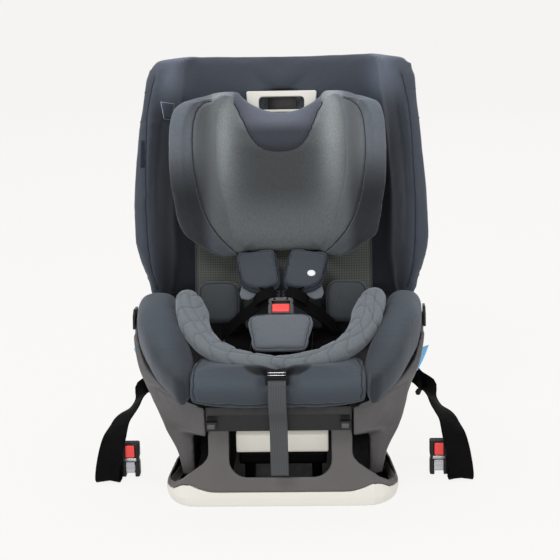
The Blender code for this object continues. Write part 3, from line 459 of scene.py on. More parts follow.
def smooth_path(points, n):
    """n + 1 points on a Catmull-Rom curve through points, evenly spread."""
    P = [Vector(p) for p in points]
    P = [P[0] * 2 - P[1]] + P + [P[-1] * 2 - P[-2]]
    fine = []
    for i in range(1, len(P) - 2):
        for k in range(24):
            t = k / 24
            a, b, c, d = P[i - 1], P[i], P[i + 1], P[i + 2]
            fine.append(0.5 * ((2 * b) + (c - a) * t + (2 * a - 5 * b + 4 * c - d) * t * t
                               + (3 * b - a - 3 * c + d) * t ** 3))
    fine.append(P[-2])
    s = [0.0]
    for a, b in zip(fine, fine[1:]):
        s.append(s[-1] + (b - a).length)
    out, j = [], 0
    for k in range(n + 1):
        want = s[-1] * k / n
        while j < len(s) - 2 and s[j + 1] < want:
            j += 1
        f = (want - s[j]) / max(s[j + 1] - s[j], 1e-9)
        out.append(fine[j].lerp(fine[j + 1], min(max(f, 0), 1)))
    return out


def fine_rows(rows, n):
    """Rows of numbers read more finely, on a Catmull-Rom curve through them."""
    R = [np.array(r, float) for r in rows]
    R = [2 * R[0] - R[1]] + R + [2 * R[-1] - R[-2]]
    out = []
    for i in range(1, len(R) - 2):
        a, b, c, d = R[i - 1], R[i], R[i + 1], R[i + 2]
        m = max(2, int(round(n * (c[0] - b[0]) / (R[-2][0] - R[1][0]))))
        for k in range(m):
            t = k / m
            t2, t3 = t * t, t ** 3
            tb = (c - a) * 0.5
            tc = (d - b) * 0.5
            for q in range(len(tb)):       # no overshoot
                s = c[q] - b[q]
                if s == 0:
                    tb[q] = tc[q] = 0
                else:
                    tb[q] = np.clip(tb[q] / s, 0, 3) * s
                    tc[q] = np.clip(tc[q] / s, 0, 3) * s
            out.append(b * (2 * t3 - 3 * t2 + 1) + tb * (t3 - 2 * t2 + t)
                       + c * (-2 * t3 + 3 * t2) + tc * (t3 - t2))
    out.append(R[-2])
    return [tuple(r) for r in out]


def sweep(name, pts, section, ups, mat=None, caps=True):
    """A solid along pts; section(k) gives (a, b) offsets across and up at share k."""
    rings = []
    for i, p in enumerate(pts):
        t = (pts[min(i + 1, len(pts) - 1)] - pts[max(i - 1, 0)]).normalized()
        up = Vector(ups[i] if isinstance(ups, list) else ups)
        side = t.cross(up).normalized()
        u = side.cross(t).normalized()
        rings.append([p + side * a + u * b for a, b in section(i / (len(pts) - 1))])
    return loft(name, rings, mat, caps)


def tube(name, pts, r, mat=None, n=8):
    """A thin round cord through pts."""
    rings = []
    up = Vector((0.13, -0.2, 0.97))
    for i, p in enumerate(pts):
        t = (pts[min(i + 1, len(pts) - 1)] - pts[max(i - 1, 0)])
        if t.length < 1e-9:
            t = Vector((1, 0, 0))
        t.normalize()
        side = t.cross(up)
        if side.length < 0.1:
            side = t.cross(Vector((1, 0, 0)))
        side.normalize()
        u = side.cross(t)
        rings.append([p + side * (r * cos(2 * pi * k / n)) + u * (r * sin(2 * pi * k / n))
                      for k in range(n)])
    return loft(name, rings, mat)


def join(name, obs):
    """Joins meshes into one object, keeping their materials."""
    obs = [o for o in obs if o is not None]
    bm = bmesh.new()
    out_m, vs, fs, mi, painted_light_values, has_painted_light = [], [], [], [], [], False
    for o in obs:
        # keeps each piece's painted light and shade values
        at = o.data.attributes.get("painted_light")
        if at is None:
            painted_light_values += [1.0] * len(o.data.vertices)
        else:
            a = np.zeros(len(o.data.vertices))
            at.data.foreach_get("value", a)
            painted_light_values += a.tolist()
            has_painted_light = True
        base = len(vs)
        W = o.matrix_world
        vs += [tuple(W @ v.co) for v in o.data.vertices]
        slots = []
        for m in o.data.materials:
            if m not in out_m:
                out_m.append(m)
            slots.append(out_m.index(m))
        for p in o.data.polygons:
            fs.append(tuple(base + i for i in p.vertices))
            mi.append(slots[p.material_index] if slots else 0)
    bm.free()
    me = bpy.data.meshes.new(name)
    me.from_pydata(vs, [], fs)
    for m in out_m:
        me.materials.append(m)
    me.polygons.foreach_set("material_index", mi)
    me.polygons.foreach_set("use_smooth", [True] * len(fs))
    if has_painted_light:
        me.attributes.new("painted_light", "FLOAT", "POINT").data.foreach_set("value", painted_light_values)
    for o in obs:
        d = o.data
        bpy.data.objects.remove(o)
        if d.users == 0:
            bpy.data.meshes.remove(d)
    ob = bpy.data.objects.new(name, me)
    scene.collection.objects.link(ob)
    return ob


def sharp(ob, angle=35):
    """Smooth shading with hard edges kept."""
    shade(ob)
    ob.data.set_sharp_from_angle(angle=radians(angle))
    return ob


def cad_copy(node, name, mat):
    ob = bpy.data.objects.new(name, NODES[node].data.copy())
    scene.collection.objects.link(ob)
    mats(ob, mat)
    ob.data.polygons.foreach_set("material_index", [0] * len(ob.data.polygons))
    return ob


def moulded(node, name, mat, voxel=0.0016, soft=3, body=None, grow=0.0):
    """A CAD solid with the rounded edges of a moulding."""
    ob = cad_copy(node, name, mat)
    bm = bmesh.new()
    bm.from_mesh(ob.data)
    bmesh.ops.remove_doubles(bm, verts=bm.verts, dist=1e-6)
    bm.to_mesh(ob.data)
    bm.free()
    remesh(ob, voxel)
    relax(ob, soft)
    if grow:
        inflate(ob, grow)
    mats(ob, mat)
    shade(ob)
    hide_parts(node)
    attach(ob, body or NODES[node]["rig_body"])
    return ob


# ------------------------------------------------------------ soft goods
SIM = []


def pad(ob, voxel, soft, inset, cap, pressure=4.0, sub=1, stiff=12.0):
    """Prepares a soft piece: even mesh, rounded, a little smaller; queued for the cloth step."""
    remesh(ob, voxel)
    relax(ob, soft)
    inflate(ob, -inset)
    SIM.append((ob, cap, pressure, sub, stiff))
    return ob


def outline_of(ob, z0, z1, step=0.003):
    """How far a piece reaches to each side at each height."""
    co = coords(ob)
    zs = np.arange(z0, z1 + step / 2, step)
    out = []
    ed = np.zeros(len(ob.data.edges) * 2, dtype=np.int32)
    ob.data.edges.foreach_get("vertices", ed)
    ed = ed.reshape(-1, 2)
    a, b = co[ed[:, 0]], co[ed[:, 1]]
    lo, hi = np.minimum(a[:, 2], b[:, 2]), np.maximum(a[:, 2], b[:, 2])
    for side in (-1.0, 1.0):
        row = []
        for z in zs:
            m = (lo <= z) & (hi >= z)
            if not m.any():
                row.append(np.nan)
                continue
            dz = b[m, 2] - a[m, 2]
            t = np.where(np.abs(dz) > 1e-9, (z - a[m, 2]) / np.where(np.abs(dz) > 1e-9, dz, 1.0), 0.5)
            row.append(float((side * (a[m, 0] + (b[m, 0] - a[m, 0]) * t)).max()))
        row = np.array(row)
        good = ~np.isnan(row)
        out.append(np.interp(zs, zs[good], row[good]))
    return zs, out


def even_outline(ob, want, depth, left, right):
    """Takes the remesh steps out of a pad's side edges: the edge goes back to its drawn line."""
    zs, ref = want
    left, right = np.array(left), np.array(right)
    ref = [ref[0] - np.interp(zs, left[:, 0], left[:, 1]), ref[1] - np.interp(zs, right[:, 0], right[:, 1])]
    for _ in range(2):
        _, now = outline_of(ob, zs[0], zs[-1] + 1e-6, zs[1] - zs[0])
        co = coords(ob)
        fade = ease(co[:, 2], zs[0], zs[0] + 0.036) * (1 - ease(co[:, 2], zs[-1] - 0.020, zs[-1]))
        for side, r, w in zip((-1.0, 1.0), ref, now):
            n_ = min(len(r), len(w), len(zs))
            d = np.interp(co[:, 2], zs[:n_], (r[:n_] - w[:n_]))
            m = np.interp(co[:, 2], zs[:n_], w[:n_])
            k = ease(side * co[:, 0], m - depth, m - depth * 0.15)
            co[:, 0] += side * np.clip(d, -0.008, 0.008) * k * fade
        set_coords(ob, co)


def simulate(frames=20):
    """Swells every queued pad with Blender's cloth, then bakes the result."""
    if not SIM:
        return
    rest = {}
    for ob, cap, pressure, sub, stiff in SIM:
        rest[ob.name] = coords(ob)
        m = ob.modifiers.new("cloth", "CLOTH")
        s = m.settings
        s.quality = 4
        s.mass = 0.25
        s.tension_stiffness = s.compression_stiffness = stiff
        s.shear_stiffness = stiff * 0.6
        s.bending_stiffness = 0.6
        s.use_pressure = True
        s.uniform_pressure_force = pressure
        s.effector_weights.gravity = 0.0
        m.collision_settings.use_collision = False
        m.point_cache.frame_start = 1
        m.point_cache.frame_end = frames
    scene.frame_start, scene.frame_end = 1, frames
    for f in range(1, frames + 1):
        scene.frame_set(f)
    for ob, cap, pressure, sub, stiff in SIM:
        apply_mods(ob)
        co = coords(ob)
        d = co - rest[ob.name]
        length = np.linalg.norm(d, axis=1, keepdims=True)
        k = np.tanh(length / cap) * cap / np.maximum(length, 1e-9)
        set_coords(ob, rest[ob.name] + d * k)
        if sub:
            mod(ob, "SUBSURF", levels=sub, render_levels=sub)
            apply_mods(ob)
    scene.frame_set(1)
    SIM.clear()


def polyline_distance(P, line):
    """Distance from each point to a polyline."""
    L = np.array([tuple(p) for p in line])
    best = np.full(len(P), 1e9)
    lo, hi = L.min(0) - 0.03, L.max(0) + 0.03
    near = np.where(((P > lo) & (P < hi)).all(1))[0]
    Q = P[near]
    d = np.full(len(Q), 1e9)
    for a, b in zip(L, L[1:]):
        ab = b - a
        t = np.clip(((Q - a) @ ab) / max(ab @ ab, 1e-12), 0, 1)
        d = np.minimum(d, np.linalg.norm(Q - (a + t[:, None] * ab), axis=1))
    best[near] = d
    return best


def groove(ob, lines, width=0.006, depth=0.002):
    """Draws the surface in along seams."""
    co, no = coords(ob), normals(ob)
    d = np.full(len(co), 1e9)
    for line in lines:
        d = np.minimum(d, polyline_distance(co, line))
    k = np.clip(1 - d / width, 0, 1)
    k = k * k * (3 - 2 * k)
    set_coords(ob, co - no * (k * depth)[:, None])
    return ob


def ripple(ob, amount=0.0006, scale=22.0, seed=0.0):
    """The soft unevenness of cloth over padding."""
    co, no = coords(ob), normals(ob)
    h = np.array([noise.noise(Vector((p[0] * scale + seed, p[1] * scale, p[2] * scale)))
                  + 0.5 * noise.noise(Vector((p[0] * scale * 2.3, p[1] * scale * 2.3 + seed,
                                              p[2] * scale * 2.3))) for p in co])
    set_coords(ob, co + no * (h * amount)[:, None])
    return ob


def tree(ob):
    bm = bmesh.new()
    bm.from_mesh(ob.data)
    t = BVHTree.FromBMesh(bm)
    bm.free()
    return t


def seam(bvh, line, r, lift=0.0, mat=THREAD, name="seam", n=6):
    """A cord laid on a surface along a line."""
    pts = []
    for p in line:
        hit, nor, _, _ = bvh.find_nearest(Vector(p))
        if hit is not None:
            pts.append(hit + nor * lift)
    return tube(name, pts, r, mat, n) if len(pts) > 1 else None


def stitches(bvh, line, step=0.0042, length=0.0026, r=0.00035, lift=0.0002, mat=THREAD,
             name="stitch"):
    """Single stitches along a line on a surface."""
    vs, fs = [], []
    s, last = 0.0, None
    pts = []
    for p in line:
        hit, nor, _, _ = bvh.find_nearest(Vector(p))
        pts.append((hit, nor))
    acc = 0.0
    for (a, na), (b, nb) in zip(pts, pts[1:]):
        seg = (b - a).length
        if seg < 1e-7:
            continue
        d = (b - a) / seg
        while acc < seg:
            c = a + d * acc + na * lift
            side = d.cross(na).normalized() * r
            up = na * r
            h = d * (length / 2)
            k = len(vs)
            for e, w in ((-1, 0.3), (-0.5, 1), (0.5, 1), (1, 0.3)):
                for q in ((side, 1), (up, 1), (side, -1), (up, -1)):
                    vs.append(c + h * e + q[0] * q[1] * w)
            for i in range(3):
                for j in range(4):
                    m = (j + 1) % 4
                    fs.append((k + i * 4 + j, k + i * 4 + m, k + (i + 1) * 4 + m,
                               k + (i + 1) * 4 + j))
            fs.append((k, k + 3, k + 2, k + 1))
            fs.append((k + 12, k + 13, k + 14, k + 15))
            acc += step
        acc -= seg
    return add(name, vs, fs, mat) if vs else None


def on_surface(bvh, eye, targets, n=40, back=None):
    """Points of a surface seen from eye through each target, joined smoothly."""
    line = smooth_path([Vector(t) for t in targets], n)
    out = []
    for p in line:
        d = (p - eye).normalized()
        hit, nor, _, _ = bvh.ray_cast(eye, d)
        if hit is not None:
            out.append(hit)
    return out


def assign(ob, chooser):
    """Material index of each face from its centre and normal."""
    me = ob.data
    n = len(me.polygons)
    c = np.zeros(n * 3)
    me.polygons.foreach_get("center", c)
    no = np.zeros(n * 3)
    me.polygons.foreach_get("normal", no)
    idx = chooser(c.reshape(-1, 3), no.reshape(-1, 3)).astype(int)
    me.polygons.foreach_set("material_index", idx)
    return ob


def view_xz(co):
    """Where the line of sight to each point crosses y = 0."""
    e = np.array(EYE)
    k = e[1] / (e[1] - co[:, 1])
    return e[0] + (co[:, 0] - e[0]) * k, e[2] + (co[:, 2] - e[2]) * k


def ease(x, a, b):
    t_ = np.clip((x - a) / (b - a), 0, 1)
    return t_ * t_ * (3 - 2 * t_)


def painted_light(ob, fn=None):
    """Stores painted light and shade, highlights and shadows, at each vertex."""
    me = ob.data
    n = len(me.vertices)
    v = np.ones(n) if fn is None else fn(coords(ob), normals(ob))
    at = me.attributes.get("painted_light") or me.attributes.new("painted_light", "FLOAT", "POINT")
    at.data.foreach_set("value", v.astype(np.float32))
    return ob


# =============================================== stage: camera, floor and light
AZ, EL, ROLL, DIST = radians(2.4), radians(14.0), radians(1.3), 3.2
TARGET = Vector((0.0, 0.0, 0.33))
AWAY = Vector((sin(AZ) * cos(EL), -cos(AZ) * cos(EL), sin(EL)))
EYE = TARGET + AWAY * DIST
RIGHT = (-AWAY).cross(Vector((0, 0, 1))).normalized()
UP = RIGHT.cross(-AWAY).normalized()
cam_data = bpy.data.cameras.new("camera")
cam = bpy.data.objects.new("camera", cam_data)
scene.collection.objects.link(cam)
R = Matrix((RIGHT, UP, AWAY)).transposed()
cam.matrix_world = (Matrix.Translation(EYE) @ R.to_4x4() @ Matrix.Rotation(-ROLL, 4, "Z"))
cam_data.sensor_width = 36.0
cam_data.lens = 36.0 * (DIST / 0.00165) / 560.0
cam_data.shift_x = -1.5 / 560.0
cam_data.shift_y = -5.8 / 560.0
cam_data.clip_end = 100.0
scene.camera = cam

scene.view_settings.view_transform = "Standard"
scene.view_settings.look = "None"

floor_mat = Net("studio_floor")
fl = floor_mat
fl.set(Roughness=0.9, Specular_IOR_Level=0.1)
fl.link(fl.ramp(fl.noise(3.0), [(0.3, (0.905, 0.900, 0.890, 1)), (0.7, (0.915, 0.910, 0.900, 1))]),
        fl.bsdf.inputs["Base Color"])
em = fl.node("ShaderNodeEmission")
em.inputs["Color"].default_value = (0.938, 0.930, 0.917, 1)
em.inputs["Strength"].default_value = 1.0
mx = fl.node("ShaderNodeMixShader")
mx.inputs[0].default_value = 0.93
fl.link(fl.bsdf.outputs[0], mx.inputs[1])
fl.link(em.outputs[0], mx.inputs[2])
fl.link(mx.outputs[0], fl.t.nodes["Material Output"].inputs["Surface"])
floor = add("floor", [(-40, -40, -0.0002), (40, -40, -0.0002), (40, 40, -0.0002),
                      (-40, 40, -0.0002)], [(0, 1, 2, 3)], fl.m, False)

cyl_v, cyl_f = [], []
for i in range(96):
    a = 2 * pi * i / 96
    cyl_v += [(12 * cos(a), 12 * sin(a), -0.001), (12 * cos(a), 12 * sin(a), 4.2)]
for i in range(96):
    j = (i + 1) % 96
    cyl_f.append((2 * i, 2 * i + 1, 2 * j + 1, 2 * j))
backdrop = add("backdrop", cyl_v, cyl_f, fl.m, True)

world = bpy.data.worlds.new("studio")
scene.world = world
world.use_nodes = True
world.node_tree.nodes["Background"].inputs["Color"].default_value = (0.935, 0.935, 0.93, 1)
world.node_tree.nodes["Background"].inputs["Strength"].default_value = 0.52


def area(name, loc, size, power, aim=(0, 0, 0.33), colour=(1, 1, 1)):
    l = bpy.data.lights.new(name, "AREA")
    l.energy = power
    l.shape = "RECTANGLE"
    l.size, l.size_y = size
    l.color = colour
    ob = bpy.data.objects.new(name, l)
    scene.collection.objects.link(ob)
    ob.location = loc
    ob.rotation_euler = (Vector(aim) - Vector(loc)).to_track_quat("-Z", "Y").to_euler()
    return ob


area("key_light", (-0.7, -2.5, 2.8), (1.5, 1.1), 52.0)
area("fill_light", (1.7, -2.2, 1.6), (1.4, 1.4), 9.0)
area("low_front_light", (0.0, -2.4, 0.35), (1.2, 0.4), 7.0, (0, 0, 0.10))
area("side_light_left", (-2.6, 0.2, 1.4), (1.2, 1.8), 18.0)
area("side_light_right", (2.6, 0.4, 1.4), (1.2, 1.8), 9.0)
area("top_light", (0.0, 0.6, 2.9), (1.8, 1.4), 26.0)
area("rear_light", (0.4, 3.0, 1.8), (2.0, 1.4), 16.0)

# ========================================================== shared dimensions
LEAN = 0.2773
SLIDE = Vector((0.0, LEAN, 1.0)).normalized()
LEAN_ANG = atan2(LEAN, 1.0)


def back_y(z):
    return 0.085 + (z - 0.280) * LEAN


def fine_c(W, yt, yr, inset, rc, ns=9, na=9, nw=11):
    """Outer line of a C-shaped section, finely sampled."""
    half = [(0.0, yr)]
    for i in range(1, ns + 1):
        half.append(((W - inset - rc) * i / ns, yr))
    for i in range(1, na + 1):
        a = radians(90 - 75 * i / na)
        half.append((W - inset - rc + rc * cos(a), yr - rc + rc * sin(a)))
    x0, y0 = half[-1]
    for i in range(1, nw + 1):
        k = i / nw
        half.append((x0 + (W - x0) * k, y0 + (yt - y0) * k))
    return [(-x, y) for x, y in reversed(half[1:])] + half


def fine_levels(rows, n_rows, off_out=0.0, off_in=None, first=0, last=0, thin=None):
    levels = []
    for row in fine_rows(rows, n_rows):
        z, W, yt, yr, inset, rc, tw, tb = row
        P = fine_c(W, yt, yr, inset, rc)
        n = len(P)
        lv = []
        for i in range(first, n - last):
            a = Vector(P[max(i - 1, 0)])
            b = Vector(P[min(i + 1, n - 1)])
            t = (b - a).normalized()
            nrm = Vector((t[1], -t[0]))
            k = abs(i - (n - 1) / 2) / ((n - 1) / 2)
            th = tb + (tw - tb) * min(1.0, max(0.0, (k - 0.30) / 0.4))
            if thin is not None:
                th = thin(th, k, z)
            p = Vector(P[i])
            o = p + nrm * off_out
            q = p + nrm * (th if off_in is None else off_in)
            lv.append((Vector((o[0], o[1], z)), Vector((q[0], q[1], z))))
        levels.append(lv)
    return levels


def back_row(z, W, yt, tw=0.030, tb=0.018, inset=0.030, rc=0.045):
    return (z, W, yt, back_y(z) + 0.0185, inset, rc, tw, tb)


BACK_CAD = [back_row(0.270, 0.2270, 0.070, 0.022, 0.018, 0.014, 0.030),
        back_row(0.300, 0.2330, 0.064, 0.024, 0.018, 0.018, 0.034),
        back_row(0.345, 0.2400, 0.044, 0.028, 0.018, 0.026), back_row(0.390, 0.2450, 0.030),
        back_row(0.450, 0.2420, 0.030), back_row(0.505, 0.2370, 0.040),
        back_row(0.560, 0.2300, 0.062), back_row(0.608, 0.2215, 0.092),
        back_row(0.640, 0.2180, 0.120), back_row(0.656, 0.2140, 0.140),
        back_row(0.664, 0.2050, 0.160)]


BACK = [back_row(0.270, 0.2285, 0.070, 0.022, 0.018, 0.014, 0.030),
        back_row(0.300, 0.2345, 0.064, 0.024, 0.018, 0.018, 0.034),
        back_row(0.345, 0.2415, 0.044, 0.028, 0.018, 0.026), back_row(0.390, 0.2475, 0.030),
        back_row(0.450, 0.2465, 0.030), back_row(0.505, 0.2425, 0.040),
        back_row(0.560, 0.2375, 0.062), back_row(0.608, 0.2310, 0.092),
        back_row(0.642, 0.2275, 0.114), back_row(0.6610, 0.2240, 0.134),
        back_row(0.6710, 0.2150, 0.153)]


def hr_row(z, W, yt, tw=0.032, tb=0.030, inset=0.034, rc=0.050):
    return (z, W, yt, back_y(z) - 0.0218, inset, rc, tw, tb)


HEAD_CAD = [hr_row(0.353, 0.098, 0.044, 0.022, 0.022, 0.018, 0.030),
        hr_row(0.366, 0.123, 0.036, 0.026, 0.026, 0.024, 0.034),
        hr_row(0.390, 0.146, 0.024, 0.030, 0.030, 0.030, 0.040),
        hr_row(0.430, 0.163, 0.006), hr_row(0.480, 0.1735, -0.006),
        hr_row(0.525, 0.1770, -0.010), hr_row(0.570, 0.1730, 0.000),
        hr_row(0.600, 0.1600, 0.018), hr_row(0.614, 0.1450, 0.034),
        hr_row(0.622, 0.1280, 0.052)]


HEAD = [hr_row(0.3460, 0.106, 0.040, 0.022, 0.022, 0.018, 0.030),
        hr_row(0.3610, 0.133, 0.034, 0.026, 0.026, 0.024, 0.034),
        hr_row(0.390, 0.154, 0.022, 0.030, 0.030, 0.030, 0.040),
        hr_row(0.430, 0.1700, 0.004), hr_row(0.480, 0.1800, -0.006),
        hr_row(0.525, 0.1825, -0.010), hr_row(0.570, 0.1810, -0.004),
        hr_row(0.596, 0.1755, 0.005), hr_row(0.6085, 0.1680, 0.016),
        hr_row(0.6165, 0.1560, 0.030)]


def difference(ob, cutter_ob):
    m = ob.modifiers.new("cut", "BOOLEAN")
    m.operation = "DIFFERENCE"
    m.object = cutter_ob
    apply_mods(ob)
    d = cutter_ob.data
    bpy.data.objects.remove(cutter_ob)
    bpy.data.meshes.remove(d)
    return ob


# ===================================================================== cords
# front adjuster strap
ADJ = [(0.0, -0.2535, 0.2256), (0.0, -0.2620, 0.2250), (0.0, -0.2660, 0.2160),
       (0.0, -0.2665, 0.1950), (0.0, -0.2600, 0.1760), (0.0, -0.2440, 0.1580),
       (0.0, -0.2370, 0.1400), (0.0, -0.2340, 0.1150), (0.0, -0.2320, 0.0900),
       (0.0, -0.2300, 0.0620)]
ANCH = [(0.1240, 0.1370, 0.1230), (0.1500, 0.1420, 0.1320), (0.1900, 0.1330, 0.1380),
        (0.2160, 0.1020, 0.1320), (0.2340, 0.0580, 0.1200), (0.2520, 0.0190, 0.1030),
        (0.2720, -0.0280, 0.0880), (0.2830, -0.0660, 0.0620), (0.2890, -0.0840, 0.0340),
        (0.2915, -0.0920, 0.0120), (0.2905, -0.0890, 0.0048), (0.2870, -0.0780, 0.0112),
        (0.2810, -0.0670, 0.0178), (0.2736, -0.0580, 0.0205)]
ACROSS = [(0.0, 0.10, 1.0), (0.0, 0.30, 1.0), (-0.1, 0.50, 0.85), (-0.25, 0.60, 0.70),
          (-0.30, 0.77, 0.45), (0.05, 0.97, -0.10), (0.75, 0.60, -0.20), (0.98, 0.15, 0.0),
          (1.0, 0.02, -0.05), (1.0, 0.0, -0.03), (1.0, -0.10, 0.0), (0.90, 0.0, 0.40),
          (0.50, 0.10, 0.86), (0.05, 0.20, 0.97)]


def spread_across(points, across, n):
    fine = [Vector(p) for p in points]
    s = [0.0]
    for a, b in zip(fine, fine[1:]):
        s.append(s[-1] + (b - a).length)
    out, j = [], 0
    for k in range(n + 1):
        want = s[-1] * k / n
        while j < len(s) - 2 and s[j + 1] < want:
            j += 1
        f = min(max((want - s[j]) / (s[j + 1] - s[j]), 0.0), 1.0)
        f = f * f * (3 - 2 * f)
        out.append(Vector(across[j]).lerp(Vector(across[j + 1]), f).normalized())
    return out


def web(name, pts, across, width, thick, mat, edge=0.0):
    """Flat webbing: a lens-shaped section with woven edges."""
    rings = []
    n = len(pts)
    for i, p in enumerate(pts):
        t = (pts[min(i + 1, n - 1)] - pts[max(i - 1, 0)]).normalized()
        a = Vector(across[i] if isinstance(across, list) else across)
        a = (a - t * a.dot(t)).normalized()
        u = t.cross(a).normalized()
        w, h = width / 2, thick / 2
        sec = [(-w, -h * 0.5), (-w + 0.0008, -h), (-w * 0.85, -h * 0.9), (-w * 0.5, -h * 0.8),
               (0, -h * 0.8), (w * 0.5, -h * 0.8), (w * 0.85, -h * 0.9), (w - 0.0008, -h),
               (w, -h * 0.5), (w, h * 0.5), (w - 0.0008, h), (w * 0.85, h * 0.9),
               (w * 0.5, h * 0.8), (0, h * 0.8), (-w * 0.5, h * 0.8), (-w * 0.85, h * 0.9),
               (-w + 0.0008, h), (-w, h * 0.5)]
        rings.append([p + a * x + u * y for x, y in sec])
    return loft(name, rings, mat)


adj_pts = smooth_path(ADJ, 80)
adj = web("adjuster_strap_web", adj_pts, (1, 0, 0), 0.028, 0.0020, GWEB)
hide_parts("adjuster_strap")
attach(adj, "seat")

# lower anchor webbing, connectors, buttons, jaws
for side, tag in ((-1, "L"), (1, "R")):
    route = [(side * x, y, z) for x, y, z in ANCH]
    wide = [(side * x, y, z) for x, y, z in ACROSS]
    pts = smooth_path(route, 120)
    strap = web("anchor_strap_web_" + tag, pts, spread_across(route, wide, 120), 0.040, 0.0022,
                WEBB)
    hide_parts("anchor_strap_" + tag)
    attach(strap, "base")
    cx, cy = side * 0.2560, -0.0530
    shell = cad_copy("anchor_connector_" + tag, "anchor_connector_shell_" + tag, BLACKP)
    bm = bmesh.new()
    bm.from_mesh(shell.data)
    bmesh.ops.remove_doubles(bm, verts=bm.verts, dist=1e-6)
    bm.to_mesh(shell.data)
    bm.free()
    remesh(shell, 0.0008)
    relax(shell, 4)
    # grip waist and a raised frame round the button
    co = coords(shell)
    k = np.exp(-((co[:, 2] - 0.0300) / 0.0040) ** 2)
    outer = np.abs(co[:, 0] - cx) > 0.0120
    co[:, 0] = np.where(outer, cx + (co[:, 0] - cx) * (1 - 0.10 * k), co[:, 0])
    set_coords(shell, co)
    mats(shell, BLACKP)
    shade(shell)
    plate = box("anchor_plate_metal_" + tag, (cx - 0.0104, cy - 0.0106, 0.0286),
                (cx + 0.0104, cy - 0.0094, 0.0338), STEELM, 0.0004, 2)
    hook_a = box("anchor_cheek_a_" + tag, (cx - 0.0125, cy - 0.0108, 0.0016),
                 (cx - 0.0082, cy - 0.0096, 0.0262), BLACKP, 0.0005, 2)
    hook_b = box("anchor_cheek_b_" + tag, (cx + 0.0082, cy - 0.0108, 0.0016),
                 (cx + 0.0125, cy - 0.0096, 0.0262), BLACKP, 0.0005, 2)
    lug = box("anchor_lug_" + tag, (cx + side * 0.0152 - 0.0022, cy - 0.0080, 0.0060),
              (cx + side * 0.0152 + 0.0022, cy + 0.0050, 0.0330), BLACKP, 0.0015, 3)
    shell = join("anchor_connector_shell_" + tag, [shell, plate, hook_a, hook_b, lug])
    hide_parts("anchor_connector_" + tag)
    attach(shell, "base")
    but = moulded("anchor_button_" + tag, "anchor_button_cap_" + tag, REDP, 0.0005, 3)
    mats(NODES["anchor_jaw_" + tag], STEELM)


# ============================================================== the backrest
def seat_piece(ob, slot_name, *replaced, body="seat"):
    if replaced:
        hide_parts(*replaced)
    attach(ob, body)
    return ob


back = wall_loft("back_upholstery", fine_levels(BACK, 46, -0.0006, None), NAVY)
difference(back, box("cut", (-0.0235, 0.03, 0.4125), (0.0235, 0.32, 0.6115), None, 0))
BACK_LINE = outline_of(back, 0.300, 0.651)
pad(back, 0.0056, 12, 0.0012, 0.0048, pressure=3.0)

# ============================================================== the headrest
head = wall_loft("headrest_upholstery", fine_levels(HEAD, 44, 0.0, None,
                 thin=lambda th, k, z: th * (1.0 + 0.10 * exp(-((k - 0.62) / 0.16) ** 2))), GREY)
dip = [(-0.105, 0.70), (-0.088, 0.624)]
for i in range(-12, 13):
    x = i / 12 * 0.080
    dip.append((x, 0.5850 + 0.0345 * (abs(x) / 0.080) ** 2.1))
dip += [(0.088, 0.624), (0.105, 0.70)]
difference(head, prism("cut", dip, "Y", -0.10, 0.40))
HEAD_LINE = outline_of(head, 0.364, 0.612)
pad(head, 0.0048, 12, 0.0018, 0.0060, pressure=4.5)

# ======================================================== seat cushion, bolsters
# cushion: a rolled front edge, then flat under the insert
CUSH = [(-0.2290, 0.1770), (-0.2470, 0.1775), (-0.2570, 0.1830), (-0.2620, 0.1960),
        (-0.2625, 0.2100), (-0.2600, 0.2240), (-0.2530, 0.2350), (-0.2420, 0.2400),
        (-0.2290, 0.2400), (-0.2150, 0.2370), (-0.1950, 0.2310), (-0.1500, 0.2200),
        (0.0450, 0.2145), (0.0480, 0.1960), (0.0450, 0.1760), (-0.2000, 0.1730)]


def cushion_ring(x):
    k = abs(x) / 0.142
    dip_ = 0.0060 * exp(-(x / 0.022) ** 2)
    ring = []
    for y, z in CUSH:
        front = max(0.0, min(1.0, (-0.19 - y) / 0.07))
        yy = y + (0.010 * k ** 3) * front + dip_ * front
        zz = z - (0.007 * k ** 4) * (z > 0.2) - (dip_ * 1.2 if z > 0.22 and y < -0.22 else 0)
        if z < 0.2 and y < -0.22:
            zz += 0.0075 * k ** 4
        xx = x
        if y > -0.225 and z > 0.2:
            r_ = min(1.0, (y + 0.225) / 0.05) * max(0.0, min(1.0, (-0.09 - y) / 0.04))
            zz += 0.026 * r_ * k ** 3
        if y > -0.12 or z < 0.2 and y > -0.21:
            xx = max(-0.108, min(0.108, x))
        ring.append(Vector((xx, yy, zz)))
    return ring


cushion = loft("seat_cushion_cover", [cushion_ring(-0.1420 + 0.2840 * i / 48)
                                      for i in range(49)], NAVY_D)
pad(cushion, 0.0060, 4, 0.0025, 0.0050, pressure=4.0)

